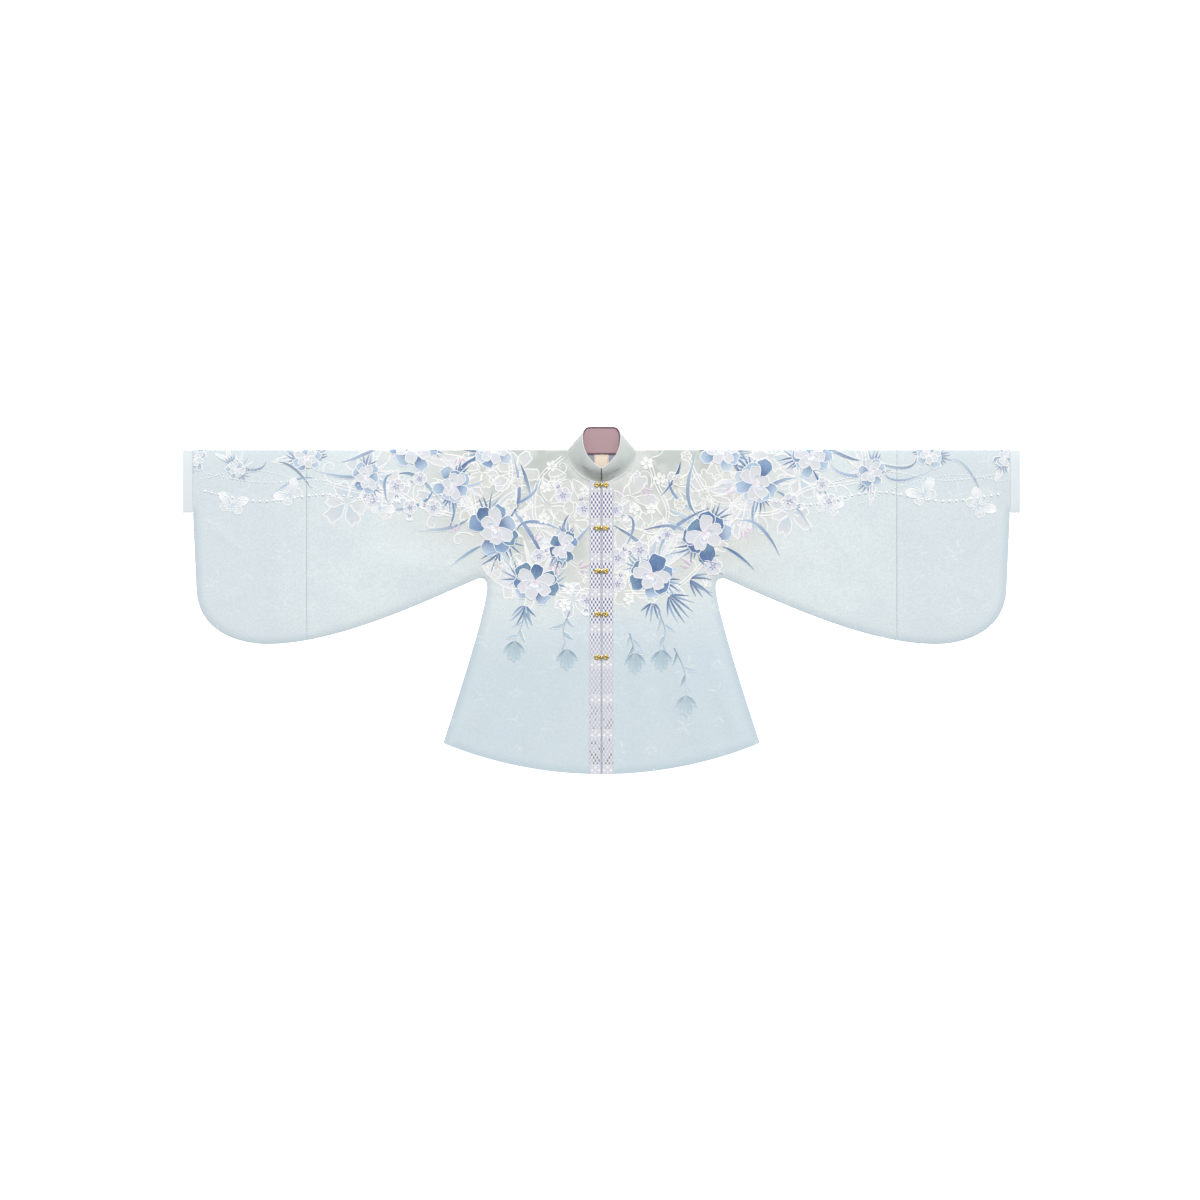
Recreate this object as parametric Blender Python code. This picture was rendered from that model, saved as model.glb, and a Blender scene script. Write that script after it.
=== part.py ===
"""A stand-collar jacket with wide curved sleeves, laid out flat with its front up.

Metres, +Z up. +X is the wearer's left, and +Y runs from the hem towards the collar. All
sizes start from the middle of the shoulder line. The empty named jacket carries every piece
to its place, so that the origin is the middle of the ground that the jacket covers.

The cut: two lengths of cloth, each folded over the shoulder to make one half of the front,
of the back and of a sleeve; a sleeve end and a cuff band on each; a stand collar and its
lining; a band down each front edge; a label; and five metal clasps, each in two halves.
"""

import math

import bmesh
import bpy
import numpy as np

MM = 0.001

# The cloth
CLOTH = 1.5 * MM  # lined jacquard, with the lining
SEAM_GAP = 0.3 * MM  # between two pieces that are sewn together or lie on each other
EDGE_RADIUS = 1.9 * MM  # a folded or sewn edge rounds over this far in
EDGE_STEPS = 4  # facets round such an edge
PUFF = 1.4 * MM  # how much the front rises inside its edges
PUFF_REACH = 0.030  # over this distance from an edge

# The body, seen from above; one half, and the other mirrors it
LENGTH = 0.714  # shoulder line to the middle of the hem
HEM_CORNER = (0.3485, -0.6455)  # the lower end of the side seam
SIDE_AT_UNDERARM = (0.2520, -0.3020)  # the side seam ends here, and a small arc
SLEEVE_AT_UNDERARM = (0.2720, -0.2838)  # leads from there into the sleeve
FRONT_GAP = 0.5 * MM  # half of the slit between the fronts, at the neck
FRONT_GAP_AT_HEM = 1.2 * MM

# The sleeves
SLEEVE_SEAM = 0.649  # where the sleeve end is sewn on
SLEEVE_LOWEST = (0.737, -0.4278)  # the deepest place of its curved underside
SLEEVE_ROUNDED = (0.8914, -0.3067)  # where the round corner meets the straight end
SLEEVE_END = 0.899
CUFF_DEPTH = 0.139  # the open mouth, from the shoulder line down
CUFF_REACH = 0.022  # how far the band stands out beyond the sleeve

# The neck and the stand collar
NECK_RADIUS = 0.076  # half of the neckline's width, at the shoulder line
NECK_DEPTH = 0.072  # and how far down it goes in front
NECK_HEIGHT = 6.8 * MM  # the neckline of the front lies this high
NECK_LIFT_REACH = 0.045  # and comes down over this distance
BACK_NECK_DROP = 0.010
NECK_ANGLES = (0.4, 10.0, 20.1, 33, 45, 57, 68.5, 80, 90)  # degrees from the centre front
PLACKET_COLUMNS = 3  # the first three of those lie under the front band
COLLAR_CLOTH = 1.6 * MM
COLLAR_RISE = 0.050  # from the shoulder line to the top edge, at the back
COLLAR_BULGE = 3.0 * MM  # how far its standing part rounds out
COLLAR_ROWS = (0, 0.09, 0.35, 0.65, 0.94, 1)  # the lining leaves out the first and last
LINING_CLOTH = 1.0 * MM

# What lies on the body
PLACKET_CLOTH = 1.0 * MM
LABEL_WIDTH, LABEL_LENGTH = 0.031, 0.034
LABEL_CLOTH = 1.0 * MM
CLASP_COUNT = 5
FIRST_CLASP = 0.0775  # below the shoulder line
CLASP_SPACING = 0.0948

# The origin is the middle of the covered ground, so the shoulder line lies this far up
SHOULDER_Y = (LENGTH - COLLAR_RISE) / 2

YOKE_ROWS = 8
SKIRT_ROWS = 9
CHEST_COLUMNS = 5  # from the neck point to the underarm
SLEEVE_COLUMNS = 10  # from the underarm to the sleeve seam
END_COLUMNS = 9
OPENING_ROWS = 3  # rows of the sleeve end that the cuff is sewn to
CLOSED_ROWS = 7  # and rows from there down to the middle of its round corner

# The top edge of the collar, one half: how far round the neck, and where it lies, in mm
COLLAR_TOP = [
    # round   x      y      z
    (0.00, 0.0, 50.0, 0.8),
    (0.12, 16.0, 50.0, 0.8),
    (0.25, 29.0, 49.2, 0.9),
    (0.33, 35.0, 46.6, 1.7),
    (0.39, 39.0, 42.0, 4.2),
    (0.45, 41.3, 35.5, 7.6),
    (0.55, 42.0, 23.0, 11.8),
    (0.66, 39.5, 6.0, 16.5),
    (0.77, 33.0, -10.5, 20.5),
    (0.88, 21.0, -26.5, 24.5),
    (1.00, 0.7, -42.5, 28.5),
]

# Where the foot of the collar turns from the back over to the front, in mm
COLLAR_TURN = [
    # x     y     z
    (73.6, -2.6, 1.4),
    (74.7, -1.5, 3.4),
    (74.5, -5.0, 5.2),
]

# The largest soft folds of the front: both ends, how wide and how high, in mm
FOLDS = [
    # from x   y     to x    y   wide  high
    (262, -20, 256, -225, 24, 1.7),
    (236, -262, 128, -112, 30, 1.4),
    (300, -262, 470, -215, 34, 1.5),
    (420, -60, 600, -330, 40, 1.1),
    (700, -60, 735, -395, 36, 1.6),
    (150, -345, 205, -650, 34, 1.7),
    (80, -380, 96, -680, 26, 1.2),
    (232, -400, 300, -630, 28, 1.4),
    (-268, -25, -250, -205, 26, 1.5),
    (-240, -255, -140, -140, 28, 1.6),
    (-310, -270, -520, -235, 36, 1.4),
    (-480, -50, -560, -350, 38, 1.2),
    (-720, -90, -705, -390, 34, 1.5),
    (-128, -350, -170, -665, 32, 1.6),
    (-70, -330, -88, -600, 24, 1.1),
    (-215, -420, -285, -620, 30, 1.5),
]

# Finishes: colour, roughness, metallic
FINISHES = {
    "satin": ((0.70, 0.80, 0.84), 0.45, 0.0),
    "collar_satin": ((0.58, 0.64, 0.63), 0.45, 0.0),
    "collar_lining": ((0.42, 0.28, 0.32), 0.60, 0.0),
    "cuff_cloth": ((0.78, 0.87, 0.89), 0.50, 0.0),
    "brocade": ((0.66, 0.67, 0.80), 0.50, 0.0),
    "label": ((0.86, 0.74, 0.60), 0.70, 0.0),
    "gilt": ((0.80, 0.60, 0.20), 0.30, 1.0),
}


def bezier(start, leave, arrive, end, count=80):
    """Points along a cubic curve."""
    t = np.linspace(0, 1, count)[:, None]
    start, leave, arrive, end = (np.array(p, float) for p in (start, leave, arrive, end))
    return (
        (1 - t) ** 3 * start
        + 3 * (1 - t) ** 2 * t * leave
        + 3 * (1 - t) * t**2 * arrive
        + t**3 * end
    )


def straight(start, end, count=40):
    return np.linspace(start, end, count)


class Edge:
    """A stretch of the garment's outer edge, with the direction that faces away from the cloth."""

    def __init__(self, line, outward):
        self.line = line
        self.outward = outward
        self.rolled = line - EDGE_RADIUS * outward
        steps = np.linalg.norm(np.diff(line, axis=0), axis=1)
        self.along = np.concatenate([[0], np.cumsum(steps)])

    def part(self, first, last, count):
        """Points where the roll starts, and their outward directions, evenly spaced."""
        at = np.linspace(first, last, count + 1)
        return self._read(self.rolled, at), self._read(self.outward, at)

    def length_at_x(self, x):
        return np.interp(x, self.rolled[:, 0], self.along)

    def nearest_length(self, point):
        return self.along[np.argmin(np.hypot(*(self.line - point).T))]

    def _read(self, rows, at):
        return np.stack([np.interp(at, self.along, rows[:, k]) for k in range(2)], axis=1)


def side_and_sleeve():
    """The two edges that meet in the middle of the underarm curve."""
    underarm = bezier(SIDE_AT_UNDERARM, (0.2520, -0.2880), (0.2580, -0.2810), SLEEVE_AT_UNDERARM)
    curves = [
        bezier(HEM_CORNER, (0.325, -0.570), (0.2535, -0.358), SIDE_AT_UNDERARM),
        underarm,
        bezier(SLEEVE_AT_UNDERARM, (0.398, -0.3383), (0.5845, -0.4278), SLEEVE_LOWEST),
        bezier(SLEEVE_LOWEST, (0.7532, -0.4278), (0.8861, -0.4241), SLEEVE_ROUNDED),
        straight(SLEEVE_ROUNDED, (SLEEVE_END, -CUFF_DEPTH)),
    ]
    line = np.concatenate([curves[0]] + [curve[1:] for curve in curves[1:]])
    run = np.gradient(line, axis=0)
    run /= np.linalg.norm(run, axis=1)[:, None]
    outward = np.stack([run[:, 1], -run[:, 0]], axis=1)
    middle = len(curves[0]) - 1 + len(underarm) // 2
    return Edge(line[: middle + 1], outward[: middle + 1]), Edge(line[middle:], outward[middle:])


SIDE, SLEEVE = side_and_sleeve()
SLEEVE_CORNER = SLEEVE.nearest_length((0.8660, -0.3780))  # halfway round the lower corner


def hem_y(x):
    """The hem is an arc of a circle through both side seams."""
    rise = LENGTH + HEM_CORNER[1]
    radius = (HEM_CORNER[0] ** 2 + rise**2) / (2 * rise)
    return radius - LENGTH - np.sqrt(radius**2 - np.square(x))


def back_neck_y(x):
    return -BACK_NECK_DROP * np.sqrt(1 - np.minimum(np.abs(x) / NECK_RADIUS, 1) ** 4)


def smooth_step(value, low, high):
    t = np.clip((value - low) / (high - low), 0, 1)
    return t * t * (3 - 2 * t)


def from_segment(points, start, end):
    """How far each point is from a segment, and how far along it the nearest place is."""
    run = end - start
    t = np.clip(((points - start) @ run) / (run @ run), 0, 1)
    return np.linalg.norm(points - start - t[..., None] * run, axis=-1), t


CLOSED_EDGE = np.concatenate([
    SIDE.line,
    SLEEVE.line,
    straight((NECK_RADIUS, 0), (SLEEVE_END, 0), 200),
])


def front_height(points):
    """How high the outside of the front lies, at points (x, y) of the whole garment."""
    half = np.abs(points[..., 0:1]), points[..., 1:2]
    reach = np.concatenate(half, axis=-1)[..., None, :] - CLOSED_EDGE
    inside = np.maximum(np.linalg.norm(reach, axis=-1).min(axis=-1) - EDGE_RADIUS, 0)
    plain = PUFF * (1 - np.exp(-inside / PUFF_REACH))
    from_neck = np.maximum(np.linalg.norm(points, axis=-1) - NECK_RADIUS, 0)
    lifted = np.exp(-((from_neck / NECK_LIFT_REACH) ** 2))
    height = 2 * EDGE_RADIUS + lifted * (NECK_HEIGHT - 2 * EDGE_RADIUS) + (1 - lifted) * plain
    loose = (1 - np.exp(-inside / PUFF_REACH)) * smooth_step(np.abs(points[..., 0]), 0.03, 0.07)
    for x0, y0, x1, y1, wide, high in FOLDS:
        away, t = from_segment(points, np.array((x0, y0)) * MM, np.array((x1, y1)) * MM)
        ridge = np.exp(-((away / (wide * MM)) ** 2)) * np.sqrt(4 * t * (1 - t) + 0.04)
        height = height + high * MM * ridge * loose * (1 - lifted)
    return height


def blend_rows(top, bottom, rows):
    """A grid of rows between two lines with as many points each."""
    t = np.linspace(0, 1, rows + 1)[:, None, None]
    return (1 - t) * top + t * bottom


def patch(top, bottom, left, right):
    """A grid inside four lines that meet at the corners."""
    u = np.linspace(0, 1, len(top))[None, :, None]
    v = np.linspace(0, 1, len(left))[:, None, None]
    across = (1 - v) * top[None] + v * bottom[None]
    down = (1 - u) * left[:, None] + u * right[:, None]
    corners = (1 - v) * ((1 - u) * top[0] + u * top[-1]) + v * ((1 - u) * bottom[0] + u * bottom[-1])
    return across + down - corners


class Sheet:
    """Gathers the outer surface of one piece of cloth from grids of points."""

    def __init__(self, side=1):
        self.side = side
        self.mesh = bmesh.new()

    def add(self, grid):
        """A grid of points (rows, columns, xyz) as quads, mirrored on the wearer's right."""
        turned = grid * (self.side, 1, 1)
        rows = [[self.mesh.verts.new(p) for p in row] for row in turned]
        for upper, lower in zip(rows, rows[1:]):
            for i in range(len(upper) - 1):
                self.mesh.faces.new((upper[i], upper[i + 1], lower[i + 1], lower[i]))

    def add_front(self, grid):
        height = front_height(grid * (self.side, 1))
        self.add(np.concatenate([grid, height[..., None]], axis=-1))

    def add_back(self, grid):
        self.add(np.concatenate([grid, np.zeros(grid.shape[:2] + (1,))], axis=-1))

    def add_roll(self, points, outward):
        """The rounded edge that joins the front to the back, from points where it starts."""
        height = front_height(points * (self.side, 1))[:, None]
        rows = []
        for turn in np.linspace(0, math.pi, EDGE_STEPS + 1):
            flat = points + outward * EDGE_RADIUS * math.sin(turn)
            rows.append(np.concatenate([flat, height / 2 * (1 + math.cos(turn))], axis=1))
        self.add(np.array(rows))

    def finished(self, name, finish):
        """Makes the object, with its wall inside this surface."""
        bmesh.ops.remove_doubles(self.mesh, verts=self.mesh.verts, dist=0.01 * MM)
        bmesh.ops.recalc_face_normals(self.mesh, faces=self.mesh.faces)
        upper = max(self.mesh.faces, key=lambda face: face.calc_center_median().z)
        if upper.normal.z < 0:
            bmesh.ops.reverse_faces(self.mesh, faces=self.mesh.faces)
        for face in self.mesh.faces:
            face.smooth = True
        for edge in self.mesh.edges:
            edge.smooth = not edge.is_boundary
        piece = object_from(name, self.mesh, finish)
        wall = piece.modifiers.new("wall", "SOLIDIFY")
        wall.thickness = CLOTH
        wall.offset = -1
        wall.use_even_offset = True


def material(finish):
    made = bpy.data.materials.get(finish)
    if made:
        return made
    colour, roughness, metallic = FINISHES[finish]
    made = bpy.data.materials.new(finish)
    made.use_nodes = True
    shader = made.node_tree.nodes["Principled BSDF"]
    shader.inputs["Base Color"].default_value = (*colour, 1)
    shader.inputs["Roughness"].default_value = roughness
    shader.inputs["Metallic"].default_value = metallic
    made.diffuse_color = (*colour, 1)
    return made


def placed(name, mesh, finish):
    """An object for a finished mesh, carried by the jacket's empty."""
    piece = bpy.data.objects.new(name, mesh)
    if not mesh.materials:
        mesh.materials.append(material(finish))
    bpy.context.scene.collection.objects.link(piece)
    piece.parent = JACKET
    return piece


def object_from(name, surface, finish):
    """An object from a bmesh, which this uses up."""
    mesh = bpy.data.meshes.new(name)
    surface.to_mesh(mesh)
    surface.free()
    return placed(name, mesh, finish)


def smoothed(mesh, angle):
    mesh.shade_smooth()
    mesh.set_sharp_from_angle(angle=math.radians(angle))


def neck_columns(first):
    """The x of each column from the centre to the neck point."""
    angles = np.radians(NECK_ANGLES)
    columns = NECK_RADIUS * np.sin(angles)
    columns[0] = first
    return columns


def body_columns(first):
    """The x of every column of the yoke, from the centre to the sleeve seam."""
    corner = SLEEVE.rolled[0, 0]
    return np.concatenate([
        neck_columns(first),
        np.linspace(NECK_RADIUS, corner, CHEST_COLUMNS + 1)[1:],
        np.linspace(corner, SLEEVE_SEAM, SLEEVE_COLUMNS + 1)[1:],
    ])


def yoke_grid(first, neckline_y):
    """The part above the chest line, with the sleeve as far as its seam."""
    columns = body_columns(first)
    in_neck = columns < NECK_RADIUS - 0.01 * MM
    top_y = np.where(in_neck, np.minimum(neckline_y(columns), -EDGE_RADIUS), -EDGE_RADIUS)
    lower = SLEEVE.length_at_x(columns)
    lower_y = np.interp(lower, SLEEVE.along, SLEEVE.rolled[:, 1])
    chest = SLEEVE.rolled[0, 1]
    bottom_y = np.where(columns < SLEEVE.rolled[0, 0], chest, lower_y)
    top = np.stack([columns, top_y], axis=1)
    return blend_rows(top, np.stack([columns, bottom_y], axis=1), YOKE_ROWS)


def skirt_grid(first, gap_at_hem):
    """The part below the chest line, which flares to the hem."""
    columns = body_columns(first)
    columns = columns[: len(NECK_ANGLES) + CHEST_COLUMNS]
    right = SIDE.part(SIDE.along[-1], 0, SKIRT_ROWS)[0]
    share = (columns - columns[0]) / (columns[-1] - columns[0])
    # The front band keeps its width, so its columns don't flare
    flare = np.maximum(columns - columns[PLACKET_COLUMNS - 1], 0) / (
        columns[-1] - columns[PLACKET_COLUMNS - 1]
    )
    hem_x = np.where(
        flare > 0,
        columns[PLACKET_COLUMNS - 1] + flare * (right[-1, 0] - columns[PLACKET_COLUMNS - 1]),
        columns + (1 - share) * (gap_at_hem - first),
    )
    top = np.stack([columns, np.full(len(columns), right[0, 1])], axis=1)
    bottom = np.stack([hem_x, hem_y(hem_x)], axis=1)
    bottom[-1] = right[-1]
    left = np.linspace(top[0], bottom[0], SKIRT_ROWS + 1)
    return patch_by_columns(top, bottom, left, right)


def patch_by_columns(top, bottom, left, right):
    """As patch, for columns that aren't evenly spaced."""
    share = ((top[:, 0] - top[0, 0]) / (top[-1, 0] - top[0, 0]))[None, :, None]
    v = np.linspace(0, 1, len(left))[:, None, None]
    across = (1 - v) * top[None] + v * bottom[None]
    bend_left = left[:, None] - ((1 - v) * top[0] + v * bottom[0])
    bend_right = right[:, None] - ((1 - v) * top[-1] + v * bottom[-1])
    return across + (1 - share) * bend_left + share**3 * bend_right


def front_neck_y(x):
    return -NECK_DEPTH * np.sqrt(np.maximum(1 - np.square(x / NECK_RADIUS), 0))


def make_body(name, side):
    """One half of the body with its sleeve: front and back are one cloth, folded at the top."""
    sheet = Sheet(side)
    front_yoke = yoke_grid(FRONT_GAP, front_neck_y)
    sheet.add_front(front_yoke)
    sheet.add_front(skirt_grid(FRONT_GAP, FRONT_GAP_AT_HEM))
    sheet.add_back(yoke_grid(SEAM_GAP / 2, back_neck_y))
    sheet.add_back(skirt_grid(SEAM_GAP / 2, SEAM_GAP / 2))
    neck_point = len(NECK_ANGLES) - 1
    shoulder = front_yoke[0, neck_point:]
    sheet.add_roll(shoulder, np.tile((0.0, 1.0), (len(shoulder), 1)))
    sheet.add_roll(*SIDE.part(0, SIDE.along[-1], SKIRT_ROWS))
    sleeve = front_yoke[-1, len(NECK_ANGLES) + CHEST_COLUMNS - 1 :]
    along = SLEEVE.length_at_x(sleeve[:, 0])
    outward = np.stack([np.interp(along, SLEEVE.along, SLEEVE.outward[:, k]) for k in range(2)], axis=1)
    sheet.add_roll(sleeve, outward)
    sheet.finished(name, "satin")


def make_sleeve_end(name, side):
    """The rounded end of a sleeve: sewn all round but for the opening that the cuff fills."""
    first = SLEEVE_SEAM + SEAM_GAP
    bottom, bottom_out = SLEEVE.part(SLEEVE.length_at_x(first), SLEEVE_CORNER, END_COLUMNS)
    bottom[0, 0] = first
    sewn, sewn_out = SLEEVE.part(SLEEVE.along[-1], SLEEVE_CORNER, CLOSED_ROWS)
    mouth_end = (SLEEVE_END, 0.5 * MM - CUFF_DEPTH)
    mouth = straight((SLEEVE_END, -EDGE_RADIUS), mouth_end, OPENING_ROWS + 1)
    right = np.concatenate([mouth, sewn])
    top = straight((first, -EDGE_RADIUS), mouth[0], END_COLUMNS + 1)
    left = straight(top[0], bottom[0], len(right))
    grid = patch(top, bottom, left, right)
    sheet = Sheet(side)
    sheet.add_front(grid)
    sheet.add_back(grid)
    sheet.add_roll(top, np.tile((0.0, 1.0), (len(top), 1)))
    sheet.add_roll(bottom, bottom_out)
    sheet.add_roll(sewn, sewn_out)
    sheet.finished(name, "satin")


def make_cuff(name, side):
    """The pale band at the sleeve's mouth, a short flat tube."""
    columns = np.linspace(SLEEVE_END + SEAM_GAP, SLEEVE_END + CUFF_REACH, 3)
    top = np.stack([columns, np.full(3, -EDGE_RADIUS)], axis=1)
    bottom = np.stack([columns, np.full(3, EDGE_RADIUS - CUFF_DEPTH)], axis=1)
    grid = blend_rows(top, bottom, OPENING_ROWS + 1)
    sheet = Sheet(side)
    sheet.add_front(grid)
    sheet.add_back(grid)
    sheet.add_roll(top, np.tile((0.0, 1.0), (3, 1)))
    sheet.add_roll(bottom, np.tile((0.0, -1.0), (3, 1)))
    sheet.finished(name, "cuff_cloth")


def moved_out(grid, side, low, high):
    """A closed strip between two heights above a grid of the front's own points."""
    points = np.concatenate([grid, front_height(grid * (side, 1))[..., None]], axis=-1)
    points = points * (side, 1, 1)
    layers = [points + (0, 0, low), points + (0, 0, high)]
    return closed_strip(layers)


def closed_strip(layers):
    """A solid between a lower and an upper grid of points."""
    rows, columns = layers[0].shape[:2]
    mesh = bmesh.new()
    lower, upper = ([[mesh.verts.new(p) for p in row] for row in layer] for layer in layers)
    for i in range(rows - 1):
        for j in range(columns - 1):
            for v in (lower, upper):
                mesh.faces.new((v[i][j], v[i][j + 1], v[i + 1][j + 1], v[i + 1][j]))
    rim = [(0, j) for j in range(columns)]
    rim += [(i, columns - 1) for i in range(1, rows)]
    rim += [(rows - 1, j) for j in range(columns - 2, -1, -1)]
    rim += [(i, 0) for i in range(rows - 2, 0, -1)]
    for (a, b), (c, d) in zip(rim, rim[1:] + rim[:1]):
        mesh.faces.new((lower[a][b], lower[c][d], upper[c][d], upper[a][b]))
    bmesh.ops.recalc_face_normals(mesh, faces=mesh.faces)
    return mesh


def placket_grid():
    """The columns of the front that the band covers, from the neckline to the hem."""
    upper = yoke_grid(FRONT_GAP, front_neck_y)[:, :PLACKET_COLUMNS]
    lower = skirt_grid(FRONT_GAP, FRONT_GAP_AT_HEM)[1:, :PLACKET_COLUMNS]
    return np.concatenate([upper, lower])


def make_placket(name, side):
    """The brocade band that lies down one front edge."""
    surface = moved_out(placket_grid(), side, SEAM_GAP, SEAM_GAP + PLACKET_CLOTH)
    smoothed(object_from(name, surface, "brocade").data, 50)


def make_label(name):
    """The blank woven label inside the back of the neck."""
    top_y = -BACK_NECK_DROP - 1.5 * MM
    columns = np.linspace(-LABEL_WIDTH / 2, LABEL_WIDTH / 2, 3)
    rows = np.linspace(top_y, top_y - LABEL_LENGTH, 3)
    bottom = CLOTH + SEAM_GAP
    layers = [
        np.array([[(x, y, height) for x in columns] for y in rows])
        for height in (bottom, bottom + LABEL_CLOTH)
    ]
    object_from(name, closed_strip(layers), "label")


def smooth_through(knots, rows, at):
    """Reads a smooth curve through rows of values, each at its own knot."""
    slopes = np.gradient(rows, knots, axis=0)
    i = np.clip(np.searchsorted(knots, at, side="right") - 1, 0, len(knots) - 2)
    width = (knots[i + 1] - knots[i])[:, None]
    t = ((at - knots[i]) / (knots[i + 1] - knots[i]))[:, None]
    return (
        (2 * t**3 - 3 * t**2 + 1) * rows[i]
        + (t**3 - 2 * t**2 + t) * width * slopes[i]
        + (3 * t**2 - 2 * t**3) * rows[i + 1]
        + (t**3 - t**2) * width * slopes[i + 1]
    )


def collar_foot():
    """The collar's lower edge, one half, just inside the neckline: back, turn and front."""
    across = neck_columns(0)[:-2]
    back = [(x, back_neck_y(x) + SEAM_GAP, COLLAR_CLOTH / 2) for x in across]
    turn = [tuple(value * MM for value in row) for row in COLLAR_TURN]
    inset = SEAM_GAP + COLLAR_CLOTH / 2
    height = NECK_HEIGHT - CLOTH / 2
    front = [
        ((NECK_RADIUS - inset) * math.sin(a), (inset - NECK_DEPTH) * math.cos(a), height)
        for a in np.radians(NECK_ANGLES[-2::-1])
    ]
    return np.array(back + turn + front)


def collar_half():
    """The middle surface of half the collar: a grid, from the back to the front end."""
    foot = collar_foot()
    steps = np.linalg.norm(np.diff(foot, axis=0), axis=1)
    share = np.concatenate([[0], np.cumsum(steps)]) / steps.sum()
    table = np.array(COLLAR_TOP)
    top = smooth_through(table[:, 0], table[:, 1:] * MM, share)
    rounding = COLLAR_BULGE * smooth_step(share, 0.42, 0.7)[:, None]
    outward = foot * (1, 1, 0)
    outward = outward / np.linalg.norm(outward, axis=1)[:, None]
    swell = rounding * (0.7 * outward + (0, 0, 0.7))
    return np.array([
        (1 - v) * foot + v * top + math.sin(math.pi * v) * swell for v in COLLAR_ROWS
    ])


def towards_neck(grid):
    """Unit directions from the collar's middle surface to the side that faces the neck."""
    normal = np.cross(np.gradient(grid, axis=1), np.gradient(grid, axis=0))
    normal /= np.linalg.norm(normal, axis=-1)[..., None]
    middle = grid.shape[1] // 2
    return normal if normal[0, middle, 2] > 0 else -normal


def make_collar_and_lining():
    """The lining lies on the collar's inside, and stops short of its edges."""
    half = collar_half()
    grid = np.concatenate([half[:, :0:-1] * (-1, 1, 1), half], axis=1)
    direction = towards_neck(grid)
    inside = COLLAR_CLOTH / 2
    low = inside + SEAM_GAP
    high = low + LINING_CLOTH
    walls = (
        ("collar", "collar_satin", slice(None), -inside, inside),
        ("collar_lining", "collar_lining", slice(1, -1), low, high),
    )
    for name, finish, rows, near, far in walls:
        layers = [(grid + distance * direction)[rows] for distance in (near, far)]
        smoothed(object_from(name, closed_strip(layers), finish).data, 50)


# The clasps, in mm, about the middle of the front slit
ROSETTE_AT = 10.3
ROSETTE_RADIUS = 4.9
PETALS = 5
PETAL_POINTS = 6
PETAL_DEPTH = 0.14  # how far the outline dips between petals
ROSETTE_RINGS = [
    # share of the radius, height, share of the petal depth
    (1.00, 0.0, 1.0),
    (1.00, 1.1, 1.0),
    (0.72, 2.1, 1.0),
    (0.36, 1.7, 0.4),
    (0.24, 2.8, 0.0),
]
KNOB_RADIUS, KNOB_HEIGHT = 2.4, 2.7
RING_RADIUS, RING_WIRE, RING_HEIGHT = 3.75, 0.75, 1.95
STEM_WIDTH, STEM_THICK = 2.4, 0.85


def rosette(at_x):
    """A flower of five petals round a raised middle, flat underneath."""
    mesh = bmesh.new()
    count = PETALS * PETAL_POINTS
    rings = []
    for share, height, depth in ROSETTE_RINGS:
        ring = []
        for i in range(count):
            turn = 2 * math.pi * i / count
            petal = 1 + PETAL_DEPTH * depth * math.cos(PETALS * turn)
            radius = ROSETTE_RADIUS * petal * share
            corner = (at_x + radius * math.cos(turn), radius * math.sin(turn), height)
            ring.append(mesh.verts.new(corner))
        rings.append(ring)
    mesh.faces.new(rings[0])
    mesh.faces.new(rings[-1])
    for lower, upper in zip(rings, rings[1:]):
        for i in range(count):
            j = (i + 1) % count
            mesh.faces.new((lower[i], lower[j], upper[j], upper[i]))
    bmesh.ops.recalc_face_normals(mesh, faces=mesh.faces)
    return mesh


def knob():
    mesh = bmesh.new()
    bmesh.ops.create_uvsphere(mesh, u_segments=10, v_segments=6, radius=KNOB_RADIUS)
    bmesh.ops.translate(mesh, verts=mesh.verts, vec=(0, 0, KNOB_HEIGHT))
    return mesh


def bar(from_x, to_x, low, high):
    mesh = bmesh.new()
    bmesh.ops.create_cube(mesh, size=1)
    bmesh.ops.scale(mesh, verts=mesh.verts, vec=(to_x - from_x, STEM_WIDTH, high - low))
    bmesh.ops.translate(mesh, verts=mesh.verts, vec=((from_x + to_x) / 2, 0, (low + high) / 2))
    return mesh


def ring():
    """The loop's ring: a circle of wire, turned about the upright axis."""
    mesh = bmesh.new()
    wire = [
        mesh.verts.new((
            RING_RADIUS + RING_WIRE * math.cos(turn),
            0,
            RING_HEIGHT + RING_WIRE * math.sin(turn),
        ))
        for turn in np.linspace(0, 2 * math.pi, 6)[:-1]
    ]
    edges = [mesh.edges.new((a, b)) for a, b in zip(wire, wire[1:] + wire[:1])]
    bmesh.ops.spin(
        mesh,
        geom=wire + edges,
        axis=(0, 0, 1),
        cent=(0, 0, 0),
        angle=2 * math.pi,
        steps=14,
        use_merge=True,
    )
    bmesh.ops.remove_doubles(mesh, verts=mesh.verts, dist=0.01)
    bmesh.ops.recalc_face_normals(mesh, faces=mesh.faces)
    return mesh


def joined(name, shapes):
    """One mesh, in metres, from shapes in millimetres that overlap."""
    pieces = []
    for shape in shapes:
        bmesh.ops.scale(shape, verts=shape.verts, vec=(MM, MM, MM))
        mesh = bpy.data.meshes.new(name)
        shape.to_mesh(mesh)
        shape.free()
        piece = bpy.data.objects.new(name, mesh)
        bpy.context.scene.collection.objects.link(piece)
        pieces.append(piece)
    for other in pieces[1:]:
        union = pieces[0].modifiers.new("union", "BOOLEAN")
        union.operation = "UNION"
        union.object = other
    bpy.context.view_layer.update()
    evaluated = pieces[0].evaluated_get(bpy.context.evaluated_depsgraph_get())
    mesh = bpy.data.meshes.new_from_object(evaluated)
    mesh.name = name
    for piece in pieces:
        bpy.data.objects.remove(piece)
    smoothed(mesh, 40)
    return mesh


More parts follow.
